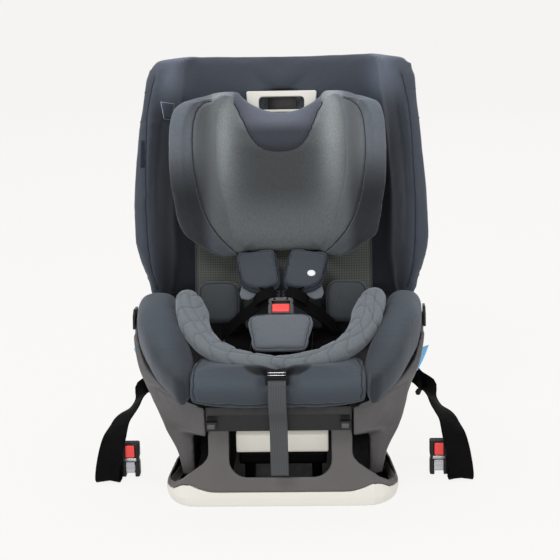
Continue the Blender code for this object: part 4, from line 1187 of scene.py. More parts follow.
BOL = [(-0.2460, 0.1425, 0.1500, 0.1800, 0.2180, 0.00), (-0.2390, 0.1400, 0.1600, 0.1780, 0.2300, 0.05),
       (-0.2200, 0.1370, 0.1720, 0.1780, 0.2400, 0.12), (-0.1950, 0.1345, 0.1870, 0.1790, 0.2520, 0.18),
       (-0.1650, 0.1340, 0.2040, 0.1810, 0.2680, 0.20), (-0.1250, 0.1420, 0.2190, 0.1880, 0.2850, 0.18),
       (-0.0750, 0.1560, 0.2340, 0.2000, 0.2975, 0.10), (-0.0250, 0.1660, 0.2400, 0.2200, 0.3005, 0.04),
       (0.0150, 0.1720, 0.2410, 0.2300, 0.2985, 0.02), (0.0400, 0.1780, 0.2380, 0.2400, 0.2920, 0.00)]
bolsters = {}
for side, tag in ((-1, "L"), (1, "R")):
    rows = []
    for y, xi, xo, zb, zt, lean_ in fine_rows(BOL, 44):
        cx, cz, rx, rz = (xi + xo) / 2, (zb + zt) / 2, (xo - xi) / 2, (zt - zb) / 2
        ring = []
        for q in range(32):
            a = 2 * pi * q / 32
            c, s = cos(a), sin(a)
            ex = 0.72
            dz = rz * (abs(s) ** ex) * (1 if s > 0 else -1)
            ring.append(Vector((side * (cx + rx * (abs(c) ** ex) * (1 if c > 0 else -1)
                                        + lean_ * dz), y, cz + dz)))
        rows.append(ring)
    b = loft("thigh_bolster_cover_" + tag, rows, NAVY_D)
    if side > 0:
        co = coords(b)
        co[:, 0] -= 0.0090 * ease(co[:, 0], 0.160, 0.235)
        set_coords(b, co)
    pad(b, 0.0055, 4, 0.0016, 0.0045, pressure=4.0)
    bolsters[tag] = b

# ============================================================== infant insert
ROLL = [(-0.1530, -0.0420, 0.3110), (-0.1510, -0.0800, 0.2960), (-0.1410, -0.1220, 0.2760),
        (-0.1150, -0.1610, 0.2560), (-0.0750, -0.1900, 0.2440), (-0.0380, -0.2035, 0.2392),
        (0.0, -0.2078, 0.2375)]
roll_line = smooth_path(ROLL + [(-x, y, z) for x, y, z in reversed(ROLL[:-1])], 120)


def roll_section(k):
    e = abs(k - 0.5) * 2
    r = 0.0178 * (1.0 + 0.12 * e)
    if e > 0.93:
        r *= sqrt(max(0.05, 1 - ((e - 0.93) / 0.075) ** 2))
    out = []
    for q in range(24):
        a = 2 * pi * q / 24
        out.append((r * 1.06 * cos(a), r * 0.96 * sin(a)))
    return out


roll = sweep("insert_roll_quilted", roll_line, roll_section, (0, 0, 1), LIGHT)
# along the sides the insert spreads inwards and down into the seat
co = coords(roll)
ctr = np.array([tuple(p) for p in roll_line])
near = np.array([np.argmin(((ctr - q) ** 2).sum(1)) for q in co])
c0 = ctr[near]
mid = np.array([0.0, -0.070])
out = c0[:, :2] - mid
out /= np.linalg.norm(out, axis=1, keepdims=True)
off = co - c0
r_ = (off[:, :2] * out).sum(1)
e = np.abs(near / 120.0 - 0.5) * 2
w = np.clip((e - 0.12) / 0.25, 0, 1) * np.clip((1.0 - e) / 0.15, 0, 1)
inward = np.minimum(r_, 0.0) * w
co[:, :2] += out * (inward * 0.85)[:, None]
co[:, 2] += inward * 0.62
set_coords(roll, co)
pad(roll, 0.0042, 3, 0.0015, 0.0035, pressure=5.0)

seat_out = [(-0.088, 0.030), (-0.100, 0.018), (-0.100, -0.120), (-0.088, -0.148),
            (-0.062, -0.168), (-0.030, -0.180), (0.030, -0.180), (0.062, -0.168),
            (0.088, -0.148), (0.100, -0.120), (0.100, 0.018), (0.088, 0.030)]
seat_pad = prism("insert_seat_pad_soft", seat_out, "Z", 0.2158, 0.2262, SEAT_PAINTED_SHADE, 0.003, 3)
pad(seat_pad, 0.0045, 3, 0.0010, 0.0030, pressure=4.0)

ib = []
for i in range(14):
    z = 0.222 + 0.100 * i / 13
    y = back_y(z) - 0.0104
    half = 0.066 if z < 0.31 else 0.066 - 0.011 * (z - 0.31) / 0.012
    ib.append([(Vector((half * q / 5, y, z)), Vector((half * q / 5, y - 0.022, z)))
               for q in range(-5, 6)])
back_insert = wall_loft("insert_back_pad_soft", ib, HIP)
pad(back_insert, 0.0045, 4, 0.0015, 0.0035, pressure=4.0)

hips = {}
for side, tag in ((-1, "L"), (1, "R")):
    out = []
    for q in range(40):
        a = 2 * pi * q / 40
        c, s = cos(a), sin(a)
        ex = 0.50
        out.append((0.037 * abs(c) ** ex * (1 if c > 0 else -1),
                    0.037 * abs(s) ** ex * (1 if s > 0 else -1)))
    h = prism("hip_pad_soft_" + tag, out, "Y", -0.024, 0.024, HIP, 0.006, 3)
    h.matrix_world = (Matrix.Translation((side * 0.1070, back_y(0.272) - 0.0400, 0.272))
                      @ Matrix.Rotation(-LEAN_ANG, 4, "X"))
    bpy.context.view_layer.update()
    h.data.transform(h.matrix_world)
    h.matrix_world = Matrix.Identity(4)
    pad(h, 0.0045, 4, 0.0020, 0.0045, pressure=5.0)
    hips[tag] = h

# ============================================================== harness pads
def slab(name, outline, place, lo, hi, mat, bevel):
    """A flat pad from an outline in its own plane, then put in place."""
    ob = prism(name, outline, "Z", lo, hi, mat, bevel, 3)
    ob.data.transform(place)
    return ob


ang = radians(32)
CP = Vector((0, -0.098, 0.2560))
CD = Vector((0, cos(ang), sin(ang)))
CN = Vector((0, -sin(ang), cos(ang)))
crotch_place = Matrix.Translation(CP) @ Matrix.Rotation(ang, 4, "X")
CROTCH = [(-0.0440, 0.0405), (-0.0520, 0.0345), (-0.0550, 0.0230), (-0.0535, 0.0060),
          (-0.0490, -0.0160), (-0.0460, -0.0310), (-0.0400, -0.0395), (-0.0200, -0.0412),
          (0.0200, -0.0412), (0.0400, -0.0395), (0.0460, -0.0310), (0.0490, -0.0160),
          (0.0535, 0.0060), (0.0550, 0.0230), (0.0520, 0.0345), (0.0440, 0.0405),
          (0.0220, 0.0430), (-0.0220, 0.0430)]
crotch = slab("crotch_pad_soft", CROTCH, crotch_place, -0.0058, 0.0058, PADS2, 0.003)
pad(crotch, 0.0036, 3, 0.0010, 0.0030, pressure=6.0)

SHOULDER = {}
for side, tag in ((-1, "L"), (1, "R")):
    top = Vector((side * 0.0450, 0.0520, 0.3520))
    low = Vector((side * 0.0330, -0.0080, 0.3060))
    d = (top - low).normalized()
    across = Vector((side * 1.0, 0.0, 0.0))
    across = (across - d * across.dot(d)).normalized()
    nrm = across.cross(d).normalized()
    if nrm.y > 0:
        nrm = -nrm
    c0 = (top + low) / 2 + nrm * 0.004
    L = (top - low).length / 2 + 0.004
    rot = Matrix((across, d, across.cross(d))).transposed().to_4x4()
    flip = 1.0 if across.cross(d).dot(nrm) > 0 else -1.0
    SHOULDER[tag] = (Matrix.Translation(c0) @ rot, L, flip)
    # outer side is +x in the pad's own plane
    o = [(-0.0280, L - 0.001), (-0.0325, L - 0.006), (-0.0335, 0.010), (-0.0330, -0.014),
         (-0.0312, -0.030), (-0.0250, -L + 0.004), (-0.0120, -L), (0.0060, -L + 0.0010),
         (0.0190, -L + 0.0080), (0.0290, -L + 0.0180), (0.0325, -0.010), (0.0335, 0.010),
         (0.0330, L - 0.006), (0.0280, L - 0.0005)]
    m = slab("shoulder_pad_soft_" + tag, o, SHOULDER[tag][0], -0.0030 if flip > 0 else -0.0052,
             0.0052 if flip > 0 else 0.0030, PADS, 0.0022)
    pad(m, 0.0034, 3, 0.0008, 0.0028, pressure=6.0)
    SHOULDER[tag] += (m,)

simulate(18)

# ============================================================== seams and detail
# the cushion and its neighbours keep their sewn lines: (x, z) read at y = 0 along the view
def seen(pts):
    return [(x, 0.0, z) for x, z in pts]


def dress(ob, lines, cord_r=0.0009, width=0.0065, depth=0.0022, stitch=True, mat=THREAD,
          snap=False, step=0.0044, n=60):
    """Cuts seam lines into a pad, lays piping in them and stitches beside them."""
    t = tree(ob)
    surf = []
    for line in lines:
        if snap:
            pts = []
            for p in smooth_path(line, n):
                hit, nor, _, _ = t.find_nearest(Vector(p))
                pts.append(hit)
            surf.append(pts)
        else:
            surf.append(on_surface(t, EYE, line, n))
    surf = [s for s in surf if len(s) > 3]
    groove(ob, surf, width, depth)
    t = tree(ob)
    extra = []
    for s in surf:
        extra.append(seam(t, s, cord_r, 0.0002, mat))
        if stitch:
            extra.append(stitches(t, s, step=step))
    return surf, [e for e in extra if e]


def finish_pad(ob, extra, name):
    ob.name = name + "_body"
    out = join(name, [ob] + extra)
    return out


def mirror_line(line):
    return [(-x, y, z) for x, y, z in line]


# backrest: piping down both wings
BS = [(-0.1985, 0.6600), (-0.2060, 0.6350), (-0.2130, 0.5970), (-0.2170, 0.5450), (-0.2190, 0.4910),
      (-0.2200, 0.4330), (-0.2195, 0.3870), (-0.2160, 0.3400), (-0.2060, 0.3060)]
even_outline(back, BACK_LINE, 0.034,
             [(0.300, 0.0090), (0.335, 0.0050), (0.363, 0.0036), (0.414, 0.0040), (0.476, 0.0038), (0.561, 0.0040), (0.646, 0.0040)],
             [(0.300, 0.0090), (0.335, 0.0046), (0.363, 0.0034), (0.414, 0.0050), (0.476, 0.0064), (0.561, 0.0062), (0.646, 0.0035)])
ripple(back, 0.0007, 16.0, 3.0)
_, extra = dress(back, [seen(BS), seen([(-x, z) for x, z in BS])], 0.0010, 0.0070, 0.0024)
ex2 = []


# painted highlights down the wings near the top corners; painted shade between the headrest and the wings and over
# the lower back
def back_painted_light(co_, no_):
    px, pz = view_xz(co_)
    a = np.abs(px)
    f = 1.0 + 1.30 * np.exp(-((a - 0.168) / 0.020) ** 2) * ease(pz, 0.575, 0.655) * ease(-no_[:, 1], -0.5, 0.0)
    low = 1 - ease(pz, 0.585, 0.650)
    f = f * (1 - 0.70 * low * (1 - ease(a, 0.184, 0.222)) * ease(a, 0.115, 0.145))
    f = f * (1 - 0.35 * (1 - ease(pz, 0.30, 0.42)) * (1 - ease(a, 0.185, 0.215)))
    return np.maximum(f, 0.18)


painted_light(back, back_painted_light)
back = finish_pad(back, extra + ex2, "back_upholstery")
seat_piece(back, "navy_fabric", "back_cover", "back_wing_L", "back_wing_R")

# headrest: side bands, collar panel, a seam round the edge
HS = [(-0.1060, 0.6210), (-0.1192, 0.6170), (-0.1300, 0.6040), (-0.1368, 0.5812),
      (-0.1390, 0.5442), (-0.1376, 0.5110), (-0.1340, 0.4820), (-0.1280, 0.4527),
      (-0.1170, 0.4232), (-0.1017, 0.3977), (-0.0838, 0.3785), (-0.0696, 0.3660)]
COL = [(-0.0700, 0.6150), (-0.0640, 0.6030), (-0.0548, 0.5830), (-0.0441, 0.5600),
       (-0.0302, 0.5446), (-0.0150, 0.5385), (0.0020, 0.5370), (0.0190, 0.5388),
       (0.0335, 0.5450), (0.0465, 0.5605), (0.0570, 0.5840), (0.0660, 0.6040), (0.0720, 0.6160)]
even_outline(head, HEAD_LINE, 0.030,
             [(0.385, -0.0050), (0.414, -0.0040), (0.448, 0.0012), (0.505, 0.0033), (0.561, 0.0033), (0.612, 0.0020)],
             [(0.385, -0.0050), (0.414, 0.0020), (0.448, 0.0070), (0.505, 0.0080), (0.561, 0.0080), (0.612, 0.0050)])
ripple(head, 0.0004, 18.0, 11.0)
surf, extra = dress(head, [seen(HS), seen([(-x, z) for x, z in HS]), seen(COL)],
                    0.0010, 0.0065, 0.0026)


def head_zones(c, no):
    """0 middle, 1 side bands, 2 collar, 3 rear."""
    e = np.array(EYE)
    k = e[1] / (e[1] - c[:, 1])
    px = e[0] + (c[:, 0] - e[0]) * k
    pz = e[2] + (c[:, 2] - e[2]) * k
    hs = np.array(HS)
    edge = np.interp(pz, hs[::-1, 1], -hs[::-1, 0])
    col = np.array(COL)
    cz = np.interp(px, col[:, 0], col[:, 1])
    front = no[:, 1] < 0.35
    idx = np.zeros(len(c))
    idx[(np.abs(px) > edge) & (pz < 0.7)] = 1
    idx[(pz > cz) & (np.abs(px) < 0.071) & front & (c[:, 1] > 0.02)] = 2
    idx[(no[:, 1] > 0.75) & (c[:, 1] > 0.03)] = 3
    return idx


mats(head, GREY, BAND, COLLAR, NAVY)
assign(head, head_zones)


# painted highlights on the headrest's lobes, outer sides and collar rim; painted shade on the lower side bands and
# the middle
def head_painted_light(co_, no_):
    px, pz = view_xz(co_)
    a = np.abs(px + 0.002)
    right = 1.0 + 0.18 * (px > 0)
    f = 0.66 + 0.24 * np.exp(-((pz - 0.400) / 0.040) ** 2)
    f = f + 1.30 * right * np.exp(-((a - 0.090) / 0.0185) ** 2) * ease(pz, 0.430, 0.585)
    f = f + 0.34 * np.exp(-((a - 0.088) / 0.030) ** 2) * ease(pz, 0.385, 0.470)
    f = f + 0.62 * ease(a, 0.115, 0.150) * ease(pz, 0.455, 0.560)
    f = f - 0.40 * ease(a, 0.105, 0.132) * (1 - ease(pz, 0.44, 0.545))
    f = f + 1.25 * ease(pz, 0.566, 0.590) * np.exp(-(px / 0.062) ** 4)
    f = f * (1.0 - 0.42 * ease(a, 0.108, 0.130) * (1 - ease(pz, 0.46, 0.56)))
    f = f * (1.0 - 0.32 * np.exp(-(px / 0.075) ** 4) * ease(pz, 0.43, 0.48) * (1 - ease(pz, 0.535, 0.56)))
    return f


painted_light(head, head_painted_light)
head = finish_pad(head, extra, "headrest_upholstery")
seat_piece(head, "grey_fabric", "headrest_pad", "headrest_wing_L", "headrest_wing_R",
           body="headrest")

# seat cushion: end seams and the edge below
ripple(cushion, 0.0006, 20.0, 5.0)
sl = []
for sx in (-1, 1):
    sl.append([(sx * x, y, z) for x, y, z in [(0.1330, -0.1750, 0.2560), (0.1350, -0.2000, 0.2510),
              (0.1360, -0.2250, 0.2450), (0.1360, -0.2440, 0.2360), (0.1350, -0.2540, 0.2200),
              (0.1330, -0.2540, 0.2050), (0.1300, -0.2500, 0.1880)]])
sl.append([(x, -0.2480 + 0.010 * (abs(x) / 0.142) ** 3, 0.1810 + 0.007 * (abs(x) / 0.142) ** 4) for x in
           [-0.138 + 0.276 * i / 16 for i in range(17)]])
_, extra = dress(cushion, sl, 0.0008, 0.0060, 0.0022, snap=True)
# sunken throat for the adjuster
co = coords(cushion)
k = np.exp(-(co[:, 0] / 0.026) ** 4) * np.clip((co[:, 2] - 0.206) / 0.012, 0, 1) * \
    np.clip((-0.2300 - co[:, 1]) / 0.012, 0, 1)
co[:, 1] = co[:, 1] + 0.017 * k
co[:, 2] = co[:, 2] - 0.006 * k
set_coords(cushion, co)


# painted highlight along the rolled front edge; painted shade towards the bottom and in the adjuster's sunken throat
def cushion_painted_light(co_, no_):
    px, pz = view_xz(co_)
    f = 1.0 + 0.40 * np.exp(-((co_[:, 2] - 0.2200) / 0.012) ** 2) * (co_[:, 1] < -0.235)
    f = f * (0.80 + 0.20 * ease(co_[:, 2], 0.178, 0.205))
    wide = 0.013 + 0.042 * ease(co_[:, 2], 0.219, 0.244)
    v = (1 - ease(np.abs(co_[:, 0]), wide - 0.004, wide + 0.002)) * ease(co_[:, 2], 0.2165, 0.2215)
    return f * (1 - 0.88 * v)


painted_light(cushion, cushion_painted_light)
cushion = finish_pad(cushion, extra, "seat_cushion_cover")
seat_piece(cushion, "navy_fabric", "seat_cushion", "seat_foam")

for side, tag in ((-1, "L"), (1, "R")):
    b = bolsters[tag]
    ripple(b, 0.0006, 20.0, 7.0 + side)
    hem = [(side * x, y, z) for x, y, z in
           [(0.1500, -0.2430, 0.1830), (0.1620, -0.2280, 0.1830), (0.1760, -0.2060, 0.1850),
            (0.1920, -0.1700, 0.1900), (0.2080, -0.1300, 0.1980), (0.2220, -0.0850, 0.2130),
            (0.2320, -0.0450, 0.2330), (0.2360, -0.0100, 0.2480)]]
    _, extra = dress(b, [hem], 0.0007, 0.0050, 0.0012, snap=True)
    # painted light on upward-facing cloth and painted shade towards the inner side
    painted_light(b, lambda c_, n_: (0.74 + 0.45 * ease(n_[:, 2], 0.2, 0.95))
         * (0.72 + 0.28 * ease(np.abs(c_[:, 0]), 0.150, 0.190)))
    b = finish_pad(b, extra, "thigh_bolster_cover_" + tag)
    seat_piece(b, "navy_fabric", "thigh_bolster_" + tag)

# quilted roll: a long line and slanting lines over it
rl = [p.copy() for p in roll_line]
quilt = []
for off in (-0.55, 0.40):
    line = []
    for i in range(4, len(rl) - 4):
        tg = (rl[i + 1] - rl[i - 1]).normalized()
        sd = tg.cross(Vector((0, 0, 1))).normalized()
        u = sd.cross(tg).normalized()
        a = off + 0.25 * sin(i * 0.21)
        line.append(rl[i] + sd * (0.0178 * sin(a)) + u * (0.0178 * cos(a)))
    quilt.append(line[::3])
for s in range(15):
    i0 = 5 + s * 7.6
    line = []
    for q in range(13):
        ph = -1.75 + q * 0.30
        i = i0 + (q - 6) * 0.55 * (1 if i0 < 60 else -1) + 2.0 * sin(q * 0.5)
        i = max(2, min(len(rl) - 3, int(round(i))))
        tg = (rl[i + 1] - rl[i - 1]).normalized()
        sd = tg.cross(Vector((0, 0, 1))).normalized()
        u = sd.cross(tg).normalized()
        line.append(rl[i] + sd * (0.0178 * sin(ph)) + u * (0.0178 * cos(ph)))
    quilt.append(line)
ripple(roll, 0.0005, 40.0, 2.0)
_, extra = dress(roll, quilt, 0.0002, 0.0062, 0.0018, stitch=False, snap=True, mat=QUILT)
roll = finish_pad(roll, extra, "insert_roll_quilted")
seat_piece(roll, "light_fabric", "insert_roll")

ripple(seat_pad, 0.0006, 30.0, 1.0)
sq = []
for x in (-0.05, 0.0, 0.05):
    sq.append([(x, y, 0.226) for y in (-0.15, -0.10, -0.05, 0.0, 0.02)])
_, extra = dress(seat_pad, sq, 0.0004, 0.0050, 0.0014, snap=True)
seat_pad = finish_pad(seat_pad, extra, "insert_seat_pad_soft")
seat_piece(seat_pad, "light_fabric", "insert_seat_pad")

ripple(back_insert, 0.0006, 30.0, 4.0)
seat_piece(back_insert, "light_fabric", "insert_back_pad")

for side, tag in ((-1, "L"), (1, "R")):
    h = hips[tag]
    ripple(h, 0.0006, 34.0, 6.0 + side)
    rim = []
    for q in range(41):
        a = 2 * pi * q / 40
        c, s = cos(a), sin(a)
        p = Vector((0.0335 * abs(c) ** 0.5 * (1 if c > 0 else -1), -0.0235,
                    0.0335 * abs(s) ** 0.5 * (1 if s > 0 else -1)))
        p = Matrix.Rotation(-LEAN_ANG, 3, "X") @ p
        rim.append(p + Vector((side * 0.1070, back_y(0.272) - 0.0400, 0.272)))
    _, extra = dress(h, [rim], 0.0007, 0.0045, 0.0012, snap=True, n=80)
    h = finish_pad(h, extra, "hip_pad_soft_" + tag)
    seat_piece(h, "navy_fabric", "hip_pad_" + tag)

# crotch pad with a seam inside its edge
rim = [crotch_place @ Vector((x * 0.90, y * 0.90, 0.0075)) for x, y in CROTCH + CROTCH[:1]]
ripple(crotch, 0.0005, 36.0, 9.0)
_, extra = dress(crotch, [rim], 0.0005, 0.0042, 0.0010, snap=True, n=90)
crotch = finish_pad(crotch, extra, "crotch_pad_soft")
seat_piece(crotch, "grey_fabric", "crotch_pad")

# shoulder pads: a face, a lining that shows as a second edge, and a flap under it
for side, tag in ((-1, "L"), (1, "R")):
    place, L, flip, m = SHOULDER[tag]
    ripple(m, 0.0005, 36.0, 12.0 + side)
    z_lo = -0.0052 if flip > 0 else 0.0008
    back_lo, back_hi = (-0.0052, -0.0016) if flip > 0 else (0.0016, 0.0052)
    o = [(-0.0300, L - 0.004), (-0.0336, L - 0.012), (-0.0344, 0.008), (-0.0340, -0.014),
         (-0.0322, -0.031), (-0.0256, -L - 0.0005), (-0.0120, -L - 0.0042),
         (0.0062, -L - 0.0034), (0.0200, -L + 0.0034), (0.0302, -L + 0.0138),
         (0.0336, -0.011), (0.0344, 0.008), (0.0338, L - 0.010), (0.0290, L - 0.004)]
    lining = slab("shoulder_lining_" + tag, o, place, back_lo, back_hi, THREAD, 0.0015)
    fl_ = [(0.0020, -L + 0.014), (0.0300, -L + 0.022), (0.0370, -L + 0.004),
           (0.0350, -L - 0.0060), (0.0240, -L - 0.0110), (0.0080, -L - 0.0050)]
    drop = (-0.0095, -0.0060) if flip > 0 else (0.0060, 0.0095)
    flap = slab("shoulder_flap_" + tag, fl_, place, drop[0], drop[1], PADS2, 0.0014)
    face = 0.0060 if flip > 0 else -0.0060
    rim = [place @ Vector((x * 0.88, y * 0.88, face)) for x, y in o + o[:1]]
    _, extra = dress(m, [rim], 0.0004, 0.0035, 0.0008, snap=True, n=90)
    parts_ = [m] + extra + [lining, flap]
    if side > 0:
        # a plain pale stud where the real pad carries a badge
        c = place @ Vector((0.0120, -0.0110, 0.0074 if flip > 0 else -0.0074))
        zdir = (place.to_3x3() @ Vector((0, 0, flip))).normalized()
        rings = []
        xa = (place.to_3x3() @ Vector((1, 0, 0))).normalized()
        ya = zdir.cross(xa).normalized()
        for rr, hh in ((0.0066, -0.0030), (0.0068, 0.0000), (0.0064, 0.0006), (0.0052, 0.0009),
                       (0.0030, 0.0007)):
            rings.append([c + xa * (rr * cos(2 * pi * q / 32)) + ya * (rr * 0.92 * sin(2 * pi * q / 32))
                          + zdir * hh for q in range(32)])
        parts_.append(loft("pad_stud", rings, WHITE))
    m = finish_pad(parts_[0], parts_[1:], "shoulder_pad_soft_" + tag)
    seat_piece(m, "grey_fabric", "shoulder_pad_" + tag)

# breathable panel on the lower back: a crowned sheet with a hemmed edge
rows = []
for i in range(33):
    z = 0.228 + 0.272 * i / 32
    half = 0.140 + 0.010 * min(1.0, (z - 0.228) / 0.04)
    row = []
    for q in range(-22, 23):
        x = half * q / 22
        e = 1 - (abs(q) / 22) ** 6
        row.append((Vector((x, back_y(z) - 0.0006, z)),
                    Vector((x, back_y(z) - 0.0040 - 0.0055 * e, z))))
    rows.append(row)
panel = wall_loft("mesh_panel", rows, MESHF)
difference(panel, box("cut", (-0.0236, 0.03, 0.4125), (0.0236, 0.32, 0.62), None, 0))
shade(panel)
for sx in (-1, 1):
    pts = [Vector((sx * 0.1490, back_y(z) - 0.0050, z)) for z in
           [0.245 + 0.25 * i / 30 for i in range(31)]]
    panel = join("mesh_panel", [panel, tube("hem", pts, 0.0016, HIP)])
seat_piece(panel, "mesh_fabric", "mesh_back_pad")

# =================================================================== harness
straps = []
for side, tag in ((-1, "L"), (1, "R")):
    # from the pads up behind the headrest
    pts = smooth_path([(side * 0.0480, back_y(0.352) - 0.0122, 0.3520),
                       (side * 0.0485, back_y(0.390) - 0.0122, 0.3900),
                       (side * 0.0490, back_y(0.470) - 0.0122, 0.4700),
                       (side * 0.0490, back_y(0.560) - 0.0122, 0.5600)], 50)
    s = web("shoulder_strap_web_" + tag, pts, (1, 0, 0), 0.025, 0.0018, WEBB)
    low = smooth_path([(side * 0.0440, 0.0450, 0.3420), (side * 0.0470, 0.0640, 0.3480),
                       (side * 0.0480, back_y(0.352) - 0.0122, 0.3530)], 16)
    s2 = web("shoulder_link_" + tag, low, (1, 0, 0), 0.025, 0.0018, WEBB)
    # from the pad down to the buckle
    dn = smooth_path([(side * 0.0330, 0.0020, 0.3120), (side * 0.0260, -0.0120, 0.3080),
                      (side * 0.0150, -0.0250, 0.3070), (side * 0.0095, -0.0345, 0.3100)], 16)
    s3 = web("shoulder_tail_" + tag, dn, [(0.9, 0.25 * side, 0.3 * side)] * 17, 0.021, 0.0018,
             WEBB)
    s = join("shoulder_strap_web_" + tag, [s, s2, s3])
    seat_piece(s, "webbing", "shoulder_strap_" + tag)
    lap = smooth_path([(side * 0.0130, -0.0400, 0.3050), (side * 0.0275, -0.0420, 0.2960),
                       (side * 0.0480, -0.0330, 0.2800), (side * 0.0720, -0.0200, 0.2580),
                       (side * 0.0900, -0.0120, 0.2380)], 40)
    s = web("lap_strap_web_" + tag, lap, (0.15 * side, 0.75, 0.65), 0.024, 0.0018, WEBB)
    # loose fold of webbing beside the tongue
    fold = smooth_path([(side * 0.0100, -0.0370, 0.3110), (side * 0.0240, -0.0430, 0.3080),
                        (side * 0.0380, -0.0420, 0.3000), (side * 0.0440, -0.0360, 0.2920)], 20)
    s2 = web("lap_fold_" + tag, fold, [(0.1 * side, 0.55, 0.83)] * 21, 0.018, 0.0018, WEBB)
    s = join("lap_strap_web_" + tag, [s, s2])
    seat_piece(s, "webbing", "lap_strap_" + tag)
cs = web("crotch_strap_web", smooth_path([CP + CD * k_ - CN * 0.0078 for k_ in
                                          (-0.030, 0.0, 0.030, 0.0400)], 24), (1, 0, 0),
         0.025, 0.0020, WEBB)
seat_piece(cs, "webbing", "crotch_strap")

# buckle: rounded shell, framed red button, tongues
a2 = radians(52)
DROP = Matrix.Translation((0.0, 0.0020, -0.0085))
BK = CP + CD * 0.0440 + Vector((0, 0.0130, 0.0065))
bplace = Matrix.Translation(BK) @ Matrix.Rotation(a2, 4, "X")
bh = cad_copy("buckle_housing", "buckle_shell", DARKP)
bm = bmesh.new()
bm.from_mesh(bh.data)
bmesh.ops.remove_doubles(bm, verts=bm.verts, dist=1e-6)
bm.to_mesh(bh.data)
bm.free()
remesh(bh, 0.0008)
relax(bh, 4)
mats(bh, DARKP)
shade(bh)
frame_lines = []
for pts in ([(-0.0158, -0.0128), (0.0158, -0.0128), (0.0158, 0.0092), (-0.0158, 0.0092)],):
    loop = [bplace @ Vector((x, y, 0.0084)) for x, y in pts + pts[:1]]
    fl_pts = []
    for a, b in zip(loop, loop[1:]):
        for i in range(8):
            fl_pts.append(a.lerp(b, i / 8))
    fl_pts.append(loop[0])
    frame_lines.append(tube("buckle_frame", fl_pts, 0.0011, DARKP))
bh.data.transform(DROP)
bh = join("buckle_shell", [bh] + frame_lines)
seat_piece(bh, "black_plastic", "buckle_housing")
bb = moulded("buckle_button", "buckle_button_cap", REDP, 0.0006, 3)
bb.data.transform(DROP)
co = coords(bb)
up = np.array([0.0, 0.6157, 0.7880])          # along the face, square to the press
d = co @ up
co = co - ((d - d.min()) * 0.26)[:, None] * up[None, :]
set_coords(bb, co)
for tag in ("L", "R"):
    tg_ = cad_copy("buckle_tongue_" + tag, "buckle_tongue_plate_" + tag, STEELD)
    tg_.data.transform(DROP)
    mod(tg_, "BEVEL", width=0.0006, segments=2)
    apply_mods(tg_)
    mats(tg_, STEELD)
    sharp(tg_, 40)
    seat_piece(tg_, "steel", "buckle_tongue_" + tag)

# adjuster: bezel with a lip, lever
bz = moulded("adjuster_bezel", "adjuster_bezel_frame", STEELD, 0.0005, 2)
lv = moulded("adjuster_lever", "adjuster_lever_bar", STEELD, 0.0005, 2)
lo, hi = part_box("adjuster_lever")
rods = []
for zz, yy in ((lo[2] + 0.0012, lo[1] + 0.0002), (hi[2] - 0.0012, lo[1] + 0.0010)):
    rods.append(tube("lever_edge", [Vector((lo[0] + 0.0012 + (hi[0] - lo[0] - 0.0024) * q / 8, yy, zz))
                                    for q in range(9)], 0.0007, CHROME, 8))
edge_ = join("adjuster_lever_edges", rods)
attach(edge_, "adjuster_lever")


# ========================================================== moulded shells
# headrest grip: a rounded loop
def grip_loop():
    def rounded(pts, r, n=5):
        out = []
        m = len(pts)
        for i in range(m):
            p, a, b = (Vector(pts[i]), Vector(pts[i - 1]), Vector(pts[(i + 1) % m]))
            da, db = (a - p).normalized(), (b - p).normalized()
            q0, q1 = p + da * r, p + db * r
            for k in range(n + 1):
                t_ = k / n
                out.append((q0 * (1 - t_) ** 2 + p * (2 * t_ * (1 - t_)) + q1 * t_ ** 2))
        return out
    outer = rounded([(-0.0572, 0.5725), (-0.0598, 0.6158), (0.0598, 0.6158), (0.0572, 0.5725)],
                    0.0042)
    inner = rounded([(-0.0385, 0.5840), (-0.0385, 0.6060), (0.0385, 0.6060), (0.0385, 0.5840)],
                    0.0075)
    cu = bpy.data.curves.new("grip", "CURVE")
    cu.dimensions = "2D"
    cu.fill_mode = "BOTH"
    cu.extrude = 0.0045
    cu.bevel_depth = 0.0015
    cu.bevel_resolution = 3
    for pts in (outer, inner):
        sp = cu.splines.new("POLY")
        sp.points.add(len(pts) - 1)
        for q, p in zip(sp.points, pts):
            q.co = (p[0], p[1] - 0.598, 0, 1)
        sp.use_cyclic_u = True
    cu.offset = -0.0015
    ob = bpy.data.objects.new("grip", cu)
    scene.collection.objects.link(ob)
    ob.matrix_world = (Matrix.Translation((0, back_y(0.598) - 0.0090, 0.598))
                       @ Matrix.Rotation(-LEAN_ANG, 4, "X") @ Matrix.Translation((0, 0, -0.0065))
                    @ Matrix.Rotation(radians(90), 4, "X"))
    bpy.context.view_layer.update()
    deps = bpy.context.evaluated_depsgraph_get()
    me = bpy.data.meshes.new_from_object(ob.evaluated_get(deps), depsgraph=deps)
    me.transform(ob.matrix_world)
    bpy.data.objects.remove(ob)
    out = bpy.data.objects.new("headrest_grip", me)
    scene.collection.objects.link(out)
    mats(out, CREAM)
    me.polygons.foreach_set("material_index", [0] * len(me.polygons))
    return sharp(out, 40)


grip = grip_loop()
stem_c = Vector((0, back_y(0.527) - 0.0090, 0.527))
stem = box("grip_stem", (-0.010, -0.003, -0.052), (0.010, 0.003, 0.052), CREAM, 0.001, 2)
stem.data.transform(Matrix.Translation(stem_c) @ Matrix.Rotation(-LEAN_ANG, 4, "X"))
grip = join("headrest_grip", [grip, stem])
sharp(grip, 40)
seat_piece(grip, "pale_plastic", "headrest_handle", body="headrest_handle")

